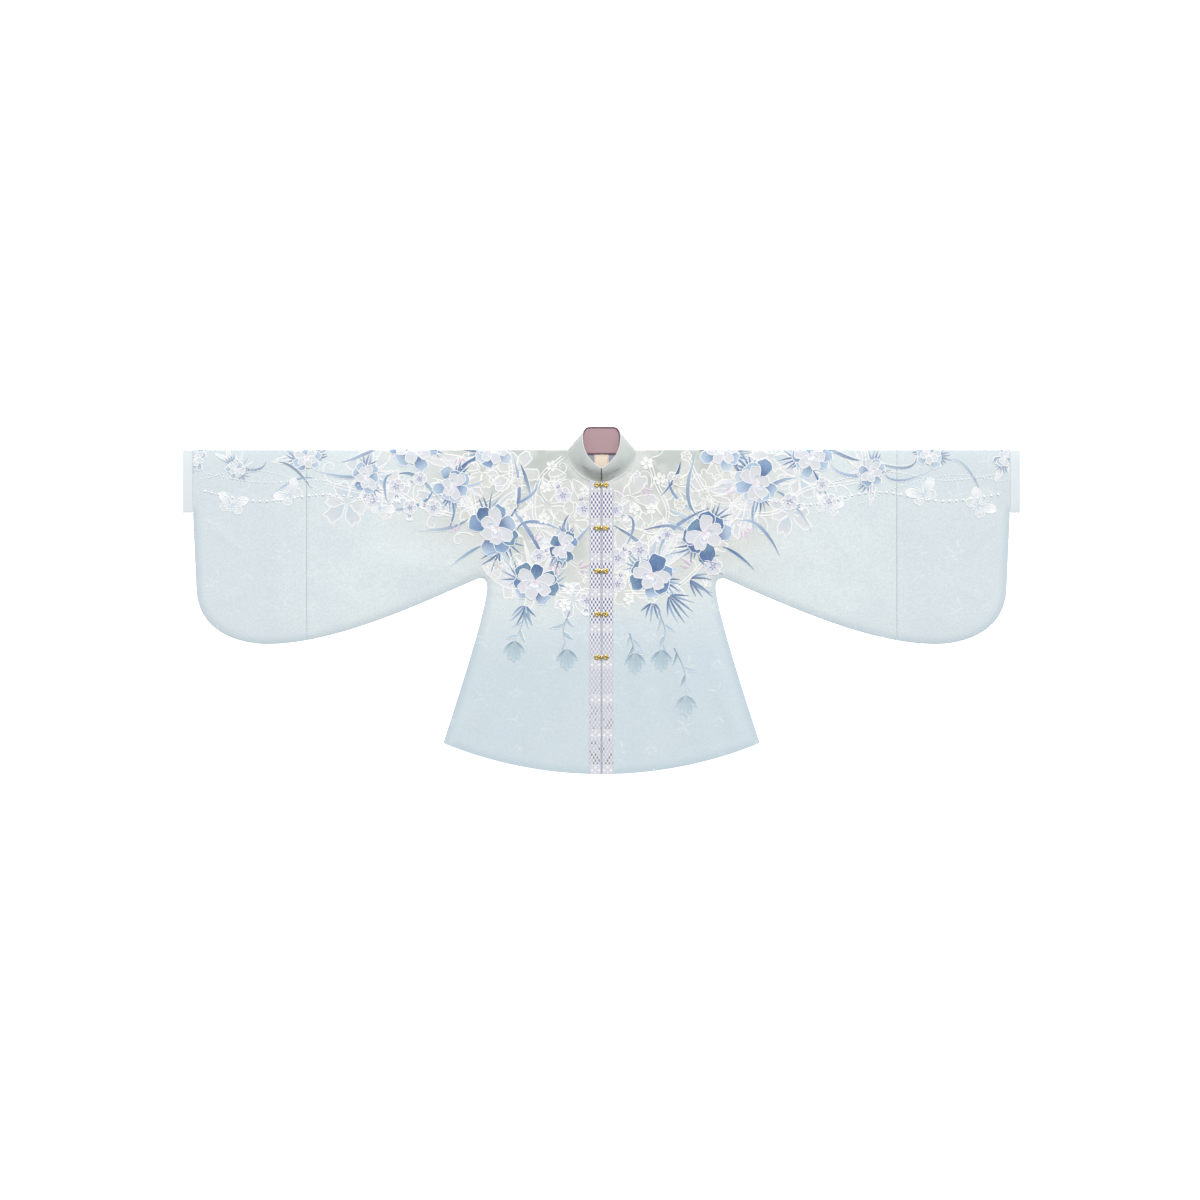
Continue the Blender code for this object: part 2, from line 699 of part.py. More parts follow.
def clasp_halves():
    """The half with the knob, on the wearer's right, and the half with the loop."""
    knob_half = joined("clasp_knob", [
        rosette(-ROSETTE_AT),
        bar(-ROSETTE_AT + 3, 0, 0, STEM_THICK),
        knob(),
    ])
    ring_low, ring_high = RING_HEIGHT - 0.4 * RING_WIRE, RING_HEIGHT + 0.4 * RING_WIRE
    loop_half = joined("clasp_loop", [
        rosette(ROSETTE_AT),
        bar(RING_RADIUS, ROSETTE_AT - 2, ring_low, ring_high),
        ring(),
    ])
    return knob_half, loop_half


def make_clasps():
    """Five fastened clasps down the front, on top of both bands."""
    knob_half, loop_half = clasp_halves()
    line = placket_grid()[:, 1]
    tops = np.stack([front_height(line * (side, 1)) for side in (1, -1)]).max(axis=0)
    for number in range(1, CLASP_COUNT + 1):
        y = -FIRST_CLASP - (number - 1) * CLASP_SPACING
        footprint = np.linspace(y - ROSETTE_RADIUS * MM, y + ROSETTE_RADIUS * MM, 5)
        band_top = np.interp(footprint, line[::-1, 1], tops[::-1]).max()
        height = band_top + 2 * SEAM_GAP + PLACKET_CLOTH
        for half, mesh in (("knob", knob_half), ("loop", loop_half)):
            piece = placed(f"clasp_{number}_{half}", mesh, "gilt")
            piece.location = (0, y, height)


for old in list(bpy.data.objects):
    bpy.data.objects.remove(old)
JACKET = bpy.data.objects.new("jacket", None)
JACKET.location = (0, SHOULDER_Y, 0)
bpy.context.scene.collection.objects.link(JACKET)

for word, facing in (("left", 1), ("right", -1)):
    make_body(f"body_{word}", facing)
    make_sleeve_end(f"sleeve_end_{word}", facing)
    make_cuff(f"cuff_{word}", facing)
    make_placket(f"placket_{word}", facing)
make_collar_and_lining()
make_label("label")
make_clasps()
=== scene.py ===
# %% [markdown]
# A stand-collar jacket, laid out flat. The imported model holds the true cut: every piece of cloth is there
# as a plain solid. This script dresses that frame. Each piece of cloth gets a finer sheet with its small
# creases, the clasps are modelled as cast metal, and the front gets its embroidered flowers. The first step
# loads the frame.

import functools
import math
import random

import bmesh
import bpy
import numpy as np
from mathutils import Matrix, Vector


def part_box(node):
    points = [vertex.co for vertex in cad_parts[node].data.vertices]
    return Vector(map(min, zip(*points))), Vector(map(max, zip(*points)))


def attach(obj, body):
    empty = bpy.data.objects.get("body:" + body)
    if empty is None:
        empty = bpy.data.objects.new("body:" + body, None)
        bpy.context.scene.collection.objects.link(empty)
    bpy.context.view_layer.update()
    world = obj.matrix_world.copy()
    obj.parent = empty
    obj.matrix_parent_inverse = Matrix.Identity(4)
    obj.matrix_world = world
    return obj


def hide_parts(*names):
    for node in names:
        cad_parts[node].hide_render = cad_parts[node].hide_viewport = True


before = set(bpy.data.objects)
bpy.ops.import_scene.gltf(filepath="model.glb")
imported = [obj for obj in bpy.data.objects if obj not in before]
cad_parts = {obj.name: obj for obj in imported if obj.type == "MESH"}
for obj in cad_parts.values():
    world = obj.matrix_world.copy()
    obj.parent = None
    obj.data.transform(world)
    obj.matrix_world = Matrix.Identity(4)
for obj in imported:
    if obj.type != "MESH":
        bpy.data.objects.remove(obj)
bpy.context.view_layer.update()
print("the frame has", len(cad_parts), "pieces")

# %% [markdown]
# A tailor measures down from the shoulder line and out from the middle of the front. The same
# is done here: every outline below has the middle of the shoulder line as its zero, and the
# pieces are moved to their place in the frame when their meshes are made. What the frame can
# tell is read from it, so that the sheets always meet the solids they stand for.

# %% Measures read from the frame
MM = 0.001
SIDES = {"left": 1, "right": -1}  # the wearer's left is towards +x
SHOULDER_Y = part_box("body_left")[1].y
SLEEVE_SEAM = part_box("body_left")[1].x
SLEEVE_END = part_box("sleeve_end_left")[1].x
CUFF_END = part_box("cuff_left")[1].x
LENGTH = SHOULDER_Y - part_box("body_left")[0].y
CUFF_DEPTH = SHOULDER_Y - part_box("cuff_left")[0].y
LABEL_LOW, LABEL_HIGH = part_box("label")
NECK_RADIUS, NECK_DEPTH, BACK_NECK_DEPTH = 0.076, 0.072, 0.010
EDGE_RADIUS = 1.9 * MM
SEAM_GAP = 0.3 * MM
print("shoulder line at", round(SHOULDER_Y, 4), "sleeve seam at", round(SLEEVE_SEAM, 4))

# %% [markdown]
# The photograph looks straight down on the jacket. A long lens held high up keeps the picture
# free of perspective. The photograph is 1200 pixels wide and shows 2.2 mm of cloth in each, so
# the width that the camera sees is known, and the lens follows from its height.

# %% The camera
PHOTO_PIXELS = 1200
PHOTO_MM_PER_PIXEL = 2.2
MIDDLE_PIXEL_X = 601.5  # the middle of the front, in the photograph
SHOULDER_PIXEL_Y = 449.65
CAMERA_HEIGHT = 12.0
SENSOR = 36.0
seen_width = PHOTO_PIXELS * PHOTO_MM_PER_PIXEL * MM
aim_x = (PHOTO_PIXELS / 2 - MIDDLE_PIXEL_X) * PHOTO_MM_PER_PIXEL * MM
aim_y = SHOULDER_Y + (SHOULDER_PIXEL_Y - PHOTO_PIXELS / 2) * PHOTO_MM_PER_PIXEL * MM
bpy.ops.object.camera_add(location=(aim_x, aim_y, CAMERA_HEIGHT), rotation=(0, 0, 0))
camera = bpy.context.object
camera.data.sensor_width = SENSOR
camera.data.lens = SENSOR * CAMERA_HEIGHT / seen_width
bpy.context.scene.camera = camera
print("lens", round(camera.data.lens, 1), "mm")

# %% [markdown]
# The picture is a cut-out on white, so the floor is white and so bright that it stays white all
# over. Half of the light comes softly from everywhere, half from a broad sun beyond the collar:
# it makes the folds show, and leaves the front of the collar, which leans away from it, darker.

# %% Floor and light
bpy.context.scene.view_settings.view_transform = "Standard"
world = bpy.context.scene.world or bpy.data.worlds.new("sky")
bpy.context.scene.world = world
world.use_nodes = True
sky = world.node_tree.nodes["Background"]
sky.inputs["Color"].default_value = (0.97, 0.985, 1.0, 1)
sky.inputs["Strength"].default_value = 0.47

bpy.ops.object.light_add(type="SUN", location=(1.0, 4.8, 4.5))
sun = bpy.context.object
sun.name = "window"
sun.rotation_euler = Vector((-0.16, -0.72, -0.68)).to_track_quat("-Z", "Y").to_euler()
sun.data.energy = 2.9
sun.data.angle = math.radians(28)

bpy.ops.mesh.primitive_plane_add(size=14, location=(0, 0, -0.2 * MM))
floor = bpy.context.object
floor.name = "floor"
print("the sun is", round(math.degrees(sun.data.angle)), "degrees wide")

# %% [markdown]
# A material is a chain of nodes. Written out one by one they are hard to read, so two small
# classes let the rest of this script write them as sums. The first, a Value, is one socket on its
# way through the nodes, and Python's own signs add the Math nodes. Colours are given as they are
# seen on the screen, and turned into what the cloth needs in this light.

# %% Writing materials as sums
LIGHT_ON_CLOTH = 1.1  # what lies flat here gets a little more light than white needs


def from_screen(red, green, blue):
    """The colour that a cloth needs, to be seen in this light as the given one, 0 to 255."""
    shares = (red / 255, green / 255, blue / 255)
    linear = [c / 12.92 if c <= 0.04045 else ((c + 0.055) / 1.055) ** 2.4 for c in shares]
    return tuple(c / LIGHT_ON_CLOTH for c in linear)


class Value:
    """A socket of one material, with Python's signs for its Math nodes."""

    def __init__(self, paint, socket):
        self.paint = paint
        self.socket = socket

    def math(self, operation, *others):
        return self.paint.node("ShaderNodeMath", {"operation": operation}, [self, *others])

    def __add__(self, other):
        return self.math("ADD", other)

    def __sub__(self, other):
        return self.math("SUBTRACT", other)

    def __rsub__(self, other):
        return self.paint.node("ShaderNodeMath", {"operation": "SUBTRACT"}, [other, self])

    def __mul__(self, other):
        return self.math("MULTIPLY", other)

    def __truediv__(self, other):
        return self.math("DIVIDE", other)

    def __mod__(self, other):
        return self.math("FLOORED_MODULO", other)

    def __pow__(self, power):
        return self.math("POWER", power)

    def __abs__(self):
        return self.math("ABSOLUTE")

    __radd__, __rmul__ = __add__, __mul__

    def larger(self, other):
        return self.math("MAXIMUM", other)


print("a cloth seen as white has", [round(c, 3) for c in from_screen(255, 255, 255)])

# %% [markdown]
# The second, a Paint, is one material, built around the Principled BSDF that every new material
# has. It could be wired by hand in the Shader Editor. As methods, the few nodes that cloth needs
# (a ramp, a mix, a noise, a wave of threads) take one line each in every finish below. The
# floor's white paper is the first of them.

# %% One material
class Paint:
    """One material, built around its Principled BSDF."""

    def __init__(self, name, roughness=0.5, metallic=0.0, **fixed):
        self.material = bpy.data.materials.new(name)
        self.material.use_nodes = True
        self.tree = self.material.node_tree
        self.shader = self.tree.nodes["Principled BSDF"]
        self.shader.inputs["Roughness"].default_value = roughness
        self.shader.inputs["Metallic"].default_value = metallic
        for socket, value in fixed.items():
            self.shader.inputs[socket.replace("_", " ")].default_value = value

    def feed(self, socket, value):
        """Puts a number, a colour or a Value into a socket."""
        if isinstance(value, Value):
            self.tree.links.new(value.socket, socket)
        elif isinstance(value, tuple) and len(value) == 3 and socket.type == "RGBA":
            socket.default_value = (*value, 1)
        else:
            socket.default_value = value

    def node(self, kind, settings=None, inputs=(), output=0):
        """Any node: its type, its settings, then its sockets by place, name or identifier."""
        made = self.tree.nodes.new(kind)
        for setting, value in (settings or {}).items():
            setattr(made, setting, value)
        pairs = inputs.items() if isinstance(inputs, dict) else enumerate(inputs)
        for key, value in pairs:
            by_identifier = [s for s in made.inputs if s.identifier == key]
            self.feed(by_identifier[0] if by_identifier else made.inputs[key], value)
        outputs = [s for s in made.outputs if s.identifier == output]
        return Value(self, outputs[0] if outputs else made.outputs[output])

    def split(self, at):
        parts = self.tree.nodes.new("ShaderNodeSeparateXYZ")
        self.feed(parts.inputs[0], at)
        return [Value(self, socket) for socket in parts.outputs]

    def place(self):
        """The object's own coordinates: together, and its x and y."""
        at = self.node("ShaderNodeTexCoord", output="Object")
        return at, *self.split(at)[:2]

    def uv(self, layer):
        """Across and along, from one of the piece's own UV maps."""
        return self.split(self.node("ShaderNodeUVMap", {"uv_map": layer}))[:2]

    def ramp(self, value, low, high):
        """Goes smoothly from 0 to 1 while the value goes from low to high."""
        settings = {"interpolation_type": "SMOOTHSTEP"}
        return self.node("ShaderNodeMapRange", settings, [value, low, high, 0.0, 1.0])

    def mix(self, share, first, second):
        """A colour between two others."""
        inputs = {"Factor_Float": share, "A_Color": first, "B_Color": second}
        return self.node("ShaderNodeMix", {"data_type": "RGBA"}, inputs, "Result_Color")

    def noise(self, at, scale, detail=2.0, roughness=0.5):
        inputs = {"Vector": at, "Scale": scale, "Detail": detail, "Roughness": roughness}
        return self.node("ShaderNodeTexNoise", {}, inputs)

    def stretched(self, at, x, y, z):
        """The same coordinates, scaled by a different amount each way."""
        return self.node("ShaderNodeVectorMath", {"operation": "MULTIPLY"}, [at, (x, y, z)])

    def point(self, x, y):
        return self.node("ShaderNodeCombineXYZ", {}, [x, y, 0.0])

    def length(self, x, y):
        return (x * x + y * y) ** 0.5

    def thread(self, at, scale, way="X", **more):
        """Fine parallel threads, whose bands follow each other along one axis."""
        inputs = {"Vector": at, "Scale": scale, **more}
        return self.node("ShaderNodeTexWave", {"bands_direction": way}, inputs)

    def color(self, value):
        self.feed(self.shader.inputs["Base Color"], value)

    def rough(self, value):
        self.feed(self.shader.inputs["Roughness"], value)

    def bump(self, height, depth, strength):
        """Relief: a height from 0 to 1, and how deep that is."""
        inputs = {"Strength": strength, "Distance": depth, "Height": height}
        self.feed(self.shader.inputs["Normal"], self.node("ShaderNodeBump", {}, inputs))


paper = Paint("white_paper", roughness=0.9)
paper.color((0.96, 0.96, 0.96))
paper.shader.inputs["Emission Color"].default_value = (1, 1, 1, 1)
paper.shader.inputs["Emission Strength"].default_value = 1.0
floor.data.materials.append(paper.material)
print("the floor wears", paper.material.name)

# %% [markdown]
# A bought pattern for this jacket is one outline, drawn with long curves: the hem, the side, the
# small arc under the arm, the swinging underside of the sleeve, and its round corner. The same
# curves are used here, and a point on them also knows which way faces out of the cloth. That
# is needed where the front rolls over into the back.

# %% The outline of the cut
HEM_CORNER = (0.3485, -0.6455)
SIDE_AT_UNDERARM = (0.2520, -0.3020)
SLEEVE_AT_UNDERARM = (0.2720, -0.2838)
SLEEVE_LOWEST = (0.737, -0.4278)
SLEEVE_ROUNDED = (0.8914, -0.3067)
ROUND_CORNER = (0.8660, -0.3780)


def bezier(start, leave, arrive, end, count=120):
    t = np.linspace(0, 1, count)[:, None]
    start, leave, arrive, end = (np.array(p, float) for p in (start, leave, arrive, end))
    return (
        (1 - t) ** 3 * start
        + 3 * (1 - t) ** 2 * t * leave
        + 3 * (1 - t) * t**2 * arrive
        + t**3 * end
    )


def straight(start, end, count=60):
    return np.linspace(start, end, count)


def lengths_along(line):
    """How far along a line each of its points lies."""
    return np.concatenate([[0], np.cumsum(np.linalg.norm(np.diff(line, axis=0), axis=1))])


def left_of(line):
    """At each point of a flat line, the direction across it, to its left."""
    run = np.gradient(line, axis=0)
    run /= np.linalg.norm(run, axis=1)[:, None]
    return np.stack([-run[:, 1], run[:, 0]], axis=1)


class Edge:
    """A stretch of the outline, with the direction that faces out of the cloth."""

    def __init__(self, line, outward):
        self.line = line
        self.outward = outward
        self.rolled = line - EDGE_RADIUS * outward
        self.along = lengths_along(line)

    def read(self, rows, at):
        return np.stack([np.interp(at, self.along, rows[:, k]) for k in range(2)], axis=1)

    def part(self, first, last, count):
        at = np.linspace(first, last, count + 1)
        return self.read(self.rolled, at), self.read(self.outward, at)

    def length_at_x(self, x):
        return np.interp(x, self.rolled[:, 0], self.along)


def side_and_sleeve():
    curves = [
        bezier(HEM_CORNER, (0.325, -0.570), (0.2535, -0.358), SIDE_AT_UNDERARM),
        bezier(SIDE_AT_UNDERARM, (0.2520, -0.2880), (0.2580, -0.2810), SLEEVE_AT_UNDERARM),
        bezier(SLEEVE_AT_UNDERARM, (0.398, -0.3383), (0.5845, -0.4278), SLEEVE_LOWEST),
        bezier(SLEEVE_LOWEST, (0.7532, -0.4278), (0.8861, -0.4241), SLEEVE_ROUNDED),
        straight(SLEEVE_ROUNDED, (SLEEVE_END, -CUFF_DEPTH)),
    ]
    line = np.concatenate([curves[0]] + [curve[1:] for curve in curves[1:]])
    outward = -left_of(line)
    middle = len(curves[0]) - 1 + len(curves[1]) // 2  # of the arc under the arm
    return Edge(line[: middle + 1], outward[: middle + 1]), Edge(line[middle:], outward[middle:])


SIDE, SLEEVE = side_and_sleeve()
CORNER_LENGTH = SLEEVE.along[np.linalg.norm(SLEEVE.line - ROUND_CORNER, axis=1).argmin()]


def hem_y(x):
    """The hem is an arc through both side seams, lowest in the middle."""
    rise = LENGTH + HEM_CORNER[1]
    radius = (HEM_CORNER[0] ** 2 + rise**2) / (2 * rise)
    return radius - LENGTH - np.sqrt(radius**2 - np.square(x))


def front_neck_y(x):
    return -NECK_DEPTH * np.sqrt(np.maximum(1 - np.square(x / NECK_RADIUS), 0))


def back_neck_y(x):
    return -BACK_NECK_DEPTH * np.sqrt(1 - np.minimum(np.abs(x) / NECK_RADIUS, 1) ** 4)


print("the outline is", round(SIDE.along[-1] + SLEEVE.along[-1], 3), "m long on each side")

# %% [markdown]
# Two layers of lined satin lie on each other, about 4 mm thick at the sewn edges and a little
# more inside them. On that lie the long soft folds that are left when a jacket is smoothed out by
# hand, and then the small things: the neckline rises to the collar, the cloth sinks into the
# sleeve seam, and it puckers along every sewn edge. All of this is one function of place, because
# the bands, clasps and flowers have to lie on exactly the same surface.

# %% Folds and creases
EDGE_HEIGHT = 2.7 * MM  # both layers, pressed flat along the seams
PUFF, PUFF_REACH = 2.5 * MM, 0.026
NECK_HEIGHT, NECK_LIFT_REACH = 6.8 * MM, 0.045
FOLDS = [
    # from x   y     to x    y   wide  high, in mm
    (262, -20, 256, -225, 24, 1.7),
    (236, -262, 128, -112, 30, 1.4),
    (300, -262, 470, -215, 34, 1.5),
    (420, -60, 600, -330, 40, 1.1),
    (700, -60, 735, -395, 36, 1.6),
    (150, -345, 205, -650, 34, 1.7),
    (80, -380, 96, -680, 26, 1.2),
    (232, -400, 300, -630, 28, 1.4),
    (-268, -25, -250, -205, 26, 1.5),
    (-240, -255, -140, -140, 28, 1.6),
    (-310, -270, -520, -235, 36, 1.4),
    (-480, -50, -560, -350, 38, 1.2),
    (-720, -90, -705, -390, 34, 1.5),
    (-128, -350, -170, -665, 32, 1.6),
    (-70, -330, -88, -600, 24, 1.1),
    (-215, -420, -285, -620, 30, 1.5),
]
FINE_CREASES = [
    # from x   y     to x    y   wide  high, in mm
    (-256, -6, -252, -128, 5, 0.7),
    (228, -10, 234, -140, 6, 0.6),
    (262, -286, 214, -236, 7, 0.7),
    (256, -300, 205, -300, 7, 0.5),
    (282, -282, 330, -240, 8, 0.6),
    (-260, -287, -206, -250, 7, 0.7),
    (-256, -306, -200, -318, 6, 0.5),
    (-290, -284, -352, -250, 8, 0.6),
    (868, -150, 800, -235, 9, 0.6),
    (-866, -160, -790, -225, 9, 0.6),
    (842, -330, 776, -300, 10, 0.5),
    (-842, -335, -770, -310, 10, 0.5),
    (88, -28, 176, -70, 8, 0.6),
    (-90, -26, -168, -62, 8, 0.6),
    (64, -70, 112, -150, 8, 0.5),
    (-62, -74, -104, -160, 8, 0.5),
    (300, -622, 262, -540, 9, 0.6),
    (-318, -630, -286, -560, 9, 0.6),
]
CLOSED_EDGE = np.concatenate([
    SIDE.line[::2],
    SLEEVE.line[::2],
    straight((NECK_RADIUS, 0), (CUFF_END, 0), 160),
    straight((SLEEVE_END, -CUFF_DEPTH), (CUFF_END, -CUFF_DEPTH), 12),
])


print(len(FOLDS), "long folds and", len(FINE_CREASES), "small creases")

# %% [markdown]
# A fold is a ridge along a segment: a bell curve across it, and along it a half circle, so that
# it fades at both ends. It could be sculpted, or come out of a cloth simulation. A formula gives
# the same height for every piece that lies there, and can be read back at any place.

# %% How high the front lies
def smooth_step(value, low, high):
    t = np.clip((value - low) / (high - low), 0, 1)
    return t * t * (3 - 2 * t)


def from_segment(points, start, end):
    """How far each point is from a segment, and how far along it the nearest place is."""
    run = end - start
    t = np.clip(((points - start) @ run) / (run @ run), 0, 1)
    return np.linalg.norm(points - start - t[..., None] * run, axis=-1), t


def ridges(points, table):
    height = np.zeros(len(points))
    for x0, y0, x1, y1, wide, high in table:
        away, t = from_segment(points, np.array((x0, y0)) * MM, np.array((x1, y1)) * MM)
        height += high * MM * np.exp(-((away / (wide * MM)) ** 2)) * np.sqrt(4 * t * (1 - t) + 0.04)
    return height


def distance(points, line):
    """From each point to the nearest place of a line on the right half of the garment."""
    mirrored = np.column_stack([np.abs(points[:, 0]), points[:, 1]])
    found = [
        np.linalg.norm(some[:, None] - line, axis=-1).min(axis=-1)
        for some in np.array_split(mirrored, len(mirrored) // 4000 + 1)
    ]
    return np.concatenate(found)


def edge_distance(points):
    """How far inside the sewn and folded edges each point lies."""
    return np.maximum(distance(points, CLOSED_EDGE) - EDGE_RADIUS, 0)


def front_surface(points):
    """The height of the front's outside at points (x, y), given as rows."""
    x, y = points[:, 0], points[:, 1]
    inside = edge_distance(points)
    loose = 1 - np.exp(-inside / PUFF_REACH)
    from_neck = np.maximum(np.linalg.norm(points, axis=1) - NECK_RADIUS, 0)
    lifted = np.exp(-((from_neck / NECK_LIFT_REACH) ** 2))
    height = EDGE_HEIGHT + lifted * (NECK_HEIGHT - EDGE_HEIGHT) + (1 - lifted) * PUFF * loose
    free = smooth_step(np.abs(x), 0.030, 0.07) * (1 - lifted)
    height += ridges(points, FOLDS) * loose * free
    slow = np.sin(21 * x + 9 * y + 1) + np.sin(13 * x - 24 * y) + np.sin(33 * x * y + 17 * y + 2)
    quick = np.sin(74 * x + 31 * y + 2 * slow) * np.sin(52 * y - 37 * x)
    height += (0.10 * slow + 0.07 * quick) * MM * loose * free
    away_from_band = smooth_step(np.abs(x), 0.030, 0.038)
    height += ridges(points, FINE_CREASES) * away_from_band * smooth_step(inside, 0, 6 * MM)
    to_seam = np.abs(np.abs(x) - SLEEVE_SEAM)
    seam_pucker = 0.14 * MM * np.sin(y / (1.9 * MM) + 3 * np.sin(y * 41))
    height -= (0.85 * MM - seam_pucker) * np.exp(-((to_seam / (2.6 * MM)) ** 2))
    edge_pucker = np.sin((x - 1.3 * y) / (2.4 * MM) + 2 * np.sin(57 * (x + y)))
    height += 0.16 * MM * edge_pucker * np.exp(-inside / (9 * MM)) * smooth_step(inside, 0, 2 * MM)
    return height


print("the front rises to", round(front_surface(np.array([[0.03, -0.075]]))[0] / MM, 1), "mm")

# %% [markdown]
# Now the cloth itself. One half of the body and its sleeve is a single length, folded over the
# shoulder. Its front and its back are grids that share their columns, and a half-round strip
# joins them where the cloth is folded or sewn. The neck, the front edge, the hem and the sleeve
# seam stay open. Solidify then gives the wall its thickness, and its inner side wears the
# lining's material.

# %% Grids of cloth
ROLL_STEPS = 8
# Painted shade: the ground's colour is darkened within this distance of the hem, the sides and the sleeve's
# edge, where the cloth rolls away from the light.
EDGE_SHADE_REACH = 22 * MM  # the ground is a little darker this near to the hem, the sides and the sleeve's edge
HEM_X = np.linspace(0, HEM_CORNER[0], 90)
LOWER_EDGE = np.concatenate([SIDE.line, SLEEVE.line, np.column_stack([HEM_X, hem_y(HEM_X)])])


def grid_faces(index):
    """Four corners for each face of a grid of point numbers."""
    corners = (index[:-1, :-1], index[:-1, 1:], index[1:, 1:], index[1:, :-1])
    return np.stack(corners, axis=-1).reshape(-1, 4)


def with_height(flat, height):
    """Flat points, each with its height added."""
    return np.concatenate([flat, height[..., None]], axis=-1)


class Cloth:
    """Gathers the outer surface of one piece from grids of points."""

    def __init__(self, side):
        self.side = side
        self.points, self.faces = [], []
        self.count = 0

    def add(self, grid):
        self.points.append((grid * (self.side, 1, 1)).reshape(-1, 3))
        index = np.arange(grid[..., 0].size).reshape(grid.shape[:2])
        self.faces.append(grid_faces(index + self.count))
        self.count += index.size

    def heights(self, flat):
        shape = flat.shape[:-1]
        return front_surface((flat * (self.side, 1)).reshape(-1, 2)).reshape(shape)

    def add_front(self, grid):
        self.add(with_height(grid, self.heights(grid)))

    def add_back(self, grid):
        self.add(with_height(grid, np.zeros(grid.shape[:2])))

    def add_roll(self, points, outward):
        """A half-round strip that joins the front to the back along a fold or a seam."""
        height = self.heights(points)
        rows = []
        for turn in np.linspace(0, math.pi, ROLL_STEPS + 1):
            flat = points + outward * EDGE_RADIUS * math.sin(turn)
            rows.append(with_height(flat, height / 2 * (1 + math.cos(turn))))
        self.add(np.array(rows))

    def mesh(self, name):
        """The welded surface, with its faces outward, at its place in the frame."""
        mesh = bpy.data.meshes.new(name)
        points = np.concatenate(self.points) + (0, SHOULDER_Y, 0)
        mesh.from_pydata(points.tolist(), [], np.concatenate(self.faces).tolist())
        surface = bmesh.new()
        surface.from_mesh(mesh)
        bmesh.ops.remove_doubles(surface, verts=surface.verts, dist=0.01 * MM)
        bmesh.ops.recalc_face_normals(surface, faces=surface.faces)
        surface.faces.ensure_lookup_table()
        upper = max(surface.faces, key=lambda face: face.calc_center_median().z)
        if upper.normal.z < 0:
            bmesh.ops.reverse_faces(surface, faces=surface.faces)
        for edge in surface.edges:
            edge.smooth = not edge.is_boundary
        for face in surface.faces:
            face.smooth = True
        surface.to_mesh(mesh)
        surface.free()
        places = np.array([spot.co for spot in mesh.vertices])[:, :2] - (0, SHOULDER_Y)
        # How far inside the lower edges each point lies, as a share of the painted shade's reach: the satin
        # uses it to paint shade near those edges.
        inside = np.minimum(distance(places, LOWER_EDGE) / EDGE_SHADE_REACH, 1).astype(np.float32)
        mesh.attributes.new("inside", "FLOAT", "POINT").data.foreach_set("value", inside)
        return mesh


print("the lower edge has", len(LOWER_EDGE), "points")

# %% [markdown]
# Every piece goes the same way from a mesh to the model: it is linked to the scene with its materials, its
# modifiers are applied, and it is told which body carries it and which solids it stands for. In Blender's
# window these are the modifier's Apply and the Object menu. Here they are four small functions, because there
# are 32 pieces.

# %% Placing a piece
def settle(piece, slot, *nodes):
    """Every piece rides on the one body and stands for its solids. Its slot is not used."""
    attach(piece, "root")
    if nodes:
        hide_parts(*nodes)
    return piece


def put(name, data, *paints):
    piece = bpy.data.objects.new(name, data)
    bpy.context.scene.collection.objects.link(piece)
    for paint in paints:
        data.materials.append(paint.material)
    return piece


def choose(*pieces):
    """Selects these pieces only, and makes the first one active."""
    bpy.ops.object.select_all(action="DESELECT")
    for piece in pieces:
        piece.select_set(True)
    if pieces:
        bpy.context.view_layer.objects.active = pieces[0]


def modify(piece, **steps):
    """Adds modifiers in this order, each with its settings, and then applies them all."""
    for kind, settings in steps.items():
        added = piece.modifiers.new(kind.lower(), kind)
        for setting, value in settings.items():
            setattr(added, setting, value)
    choose(piece)
    for modifier in list(piece.modifiers):
        bpy.ops.object.modifier_apply(modifier=modifier.name)


print("every piece rides on one body, the root")

# %% [markdown]
# The columns are close together where something has to be met exactly: the curve of the neck,
# the front edge and the sleeve seam. The body half is made of two grids, one above the underarm
# and one below it, because the sleeve only belongs to the upper one. A patch is a grid inside
# four lines, and is used where a piece's sides aren't straight.

# %% Cutting the pieces
YOKE_ROWS, SKIRT_ROWS = 72, 80
NECK_COLUMNS, CHEST_COLUMNS, SLEEVE_COLUMNS = 31, 37, 75
UNDERARM_COLUMN = NECK_COLUMNS + CHEST_COLUMNS
NEAR_SEAM = np.array([0, 0.8, 1.8, 3, 4.5, 6.5]) * MM  # close columns, where the seam sinks in
FRONT_GAP, FRONT_GAP_AT_HEM = 0.5 * MM, 1.2 * MM
PLACKET_WIDTH = 25.0 * MM


def blend_rows(top, bottom, rows):
    t = np.linspace(0, 1, rows + 1)[:, None, None]
    return (1 - t) * top + t * bottom


def patch(top, bottom, left, right, lean=1.0):
    """A grid inside four lines, whose columns needn't be evenly spaced."""
    share = ((top[:, 0] - top[0, 0]) / (top[-1, 0] - top[0, 0]))[None, :, None]
    v = np.linspace(0, 1, len(left))[:, None, None]
    across = (1 - v) * top[None] + v * bottom[None]
    bend_left = left[:, None] - ((1 - v) * top[0] + v * bottom[0])
    bend_right = right[:, None] - ((1 - v) * top[-1] + v * bottom[-1])
    return across + (1 - share) * bend_left + share**lean * bend_right


def body_columns(first):
    """The x of every column, from the middle of the front to the sleeve seam."""
    corner = SLEEVE.rolled[0, 0]
    neck = NECK_RADIUS * np.sin(np.radians(np.linspace(0.4, 90, NECK_COLUMNS)))
    neck[0] = first
    chest = np.linspace(NECK_RADIUS, corner, CHEST_COLUMNS + 1)[1:]
    sleeve = np.linspace(corner, SLEEVE_SEAM - 9 * MM, SLEEVE_COLUMNS + 1)[1:]
    return np.concatenate([neck, chest, sleeve, SLEEVE_SEAM - NEAR_SEAM[::-1]])


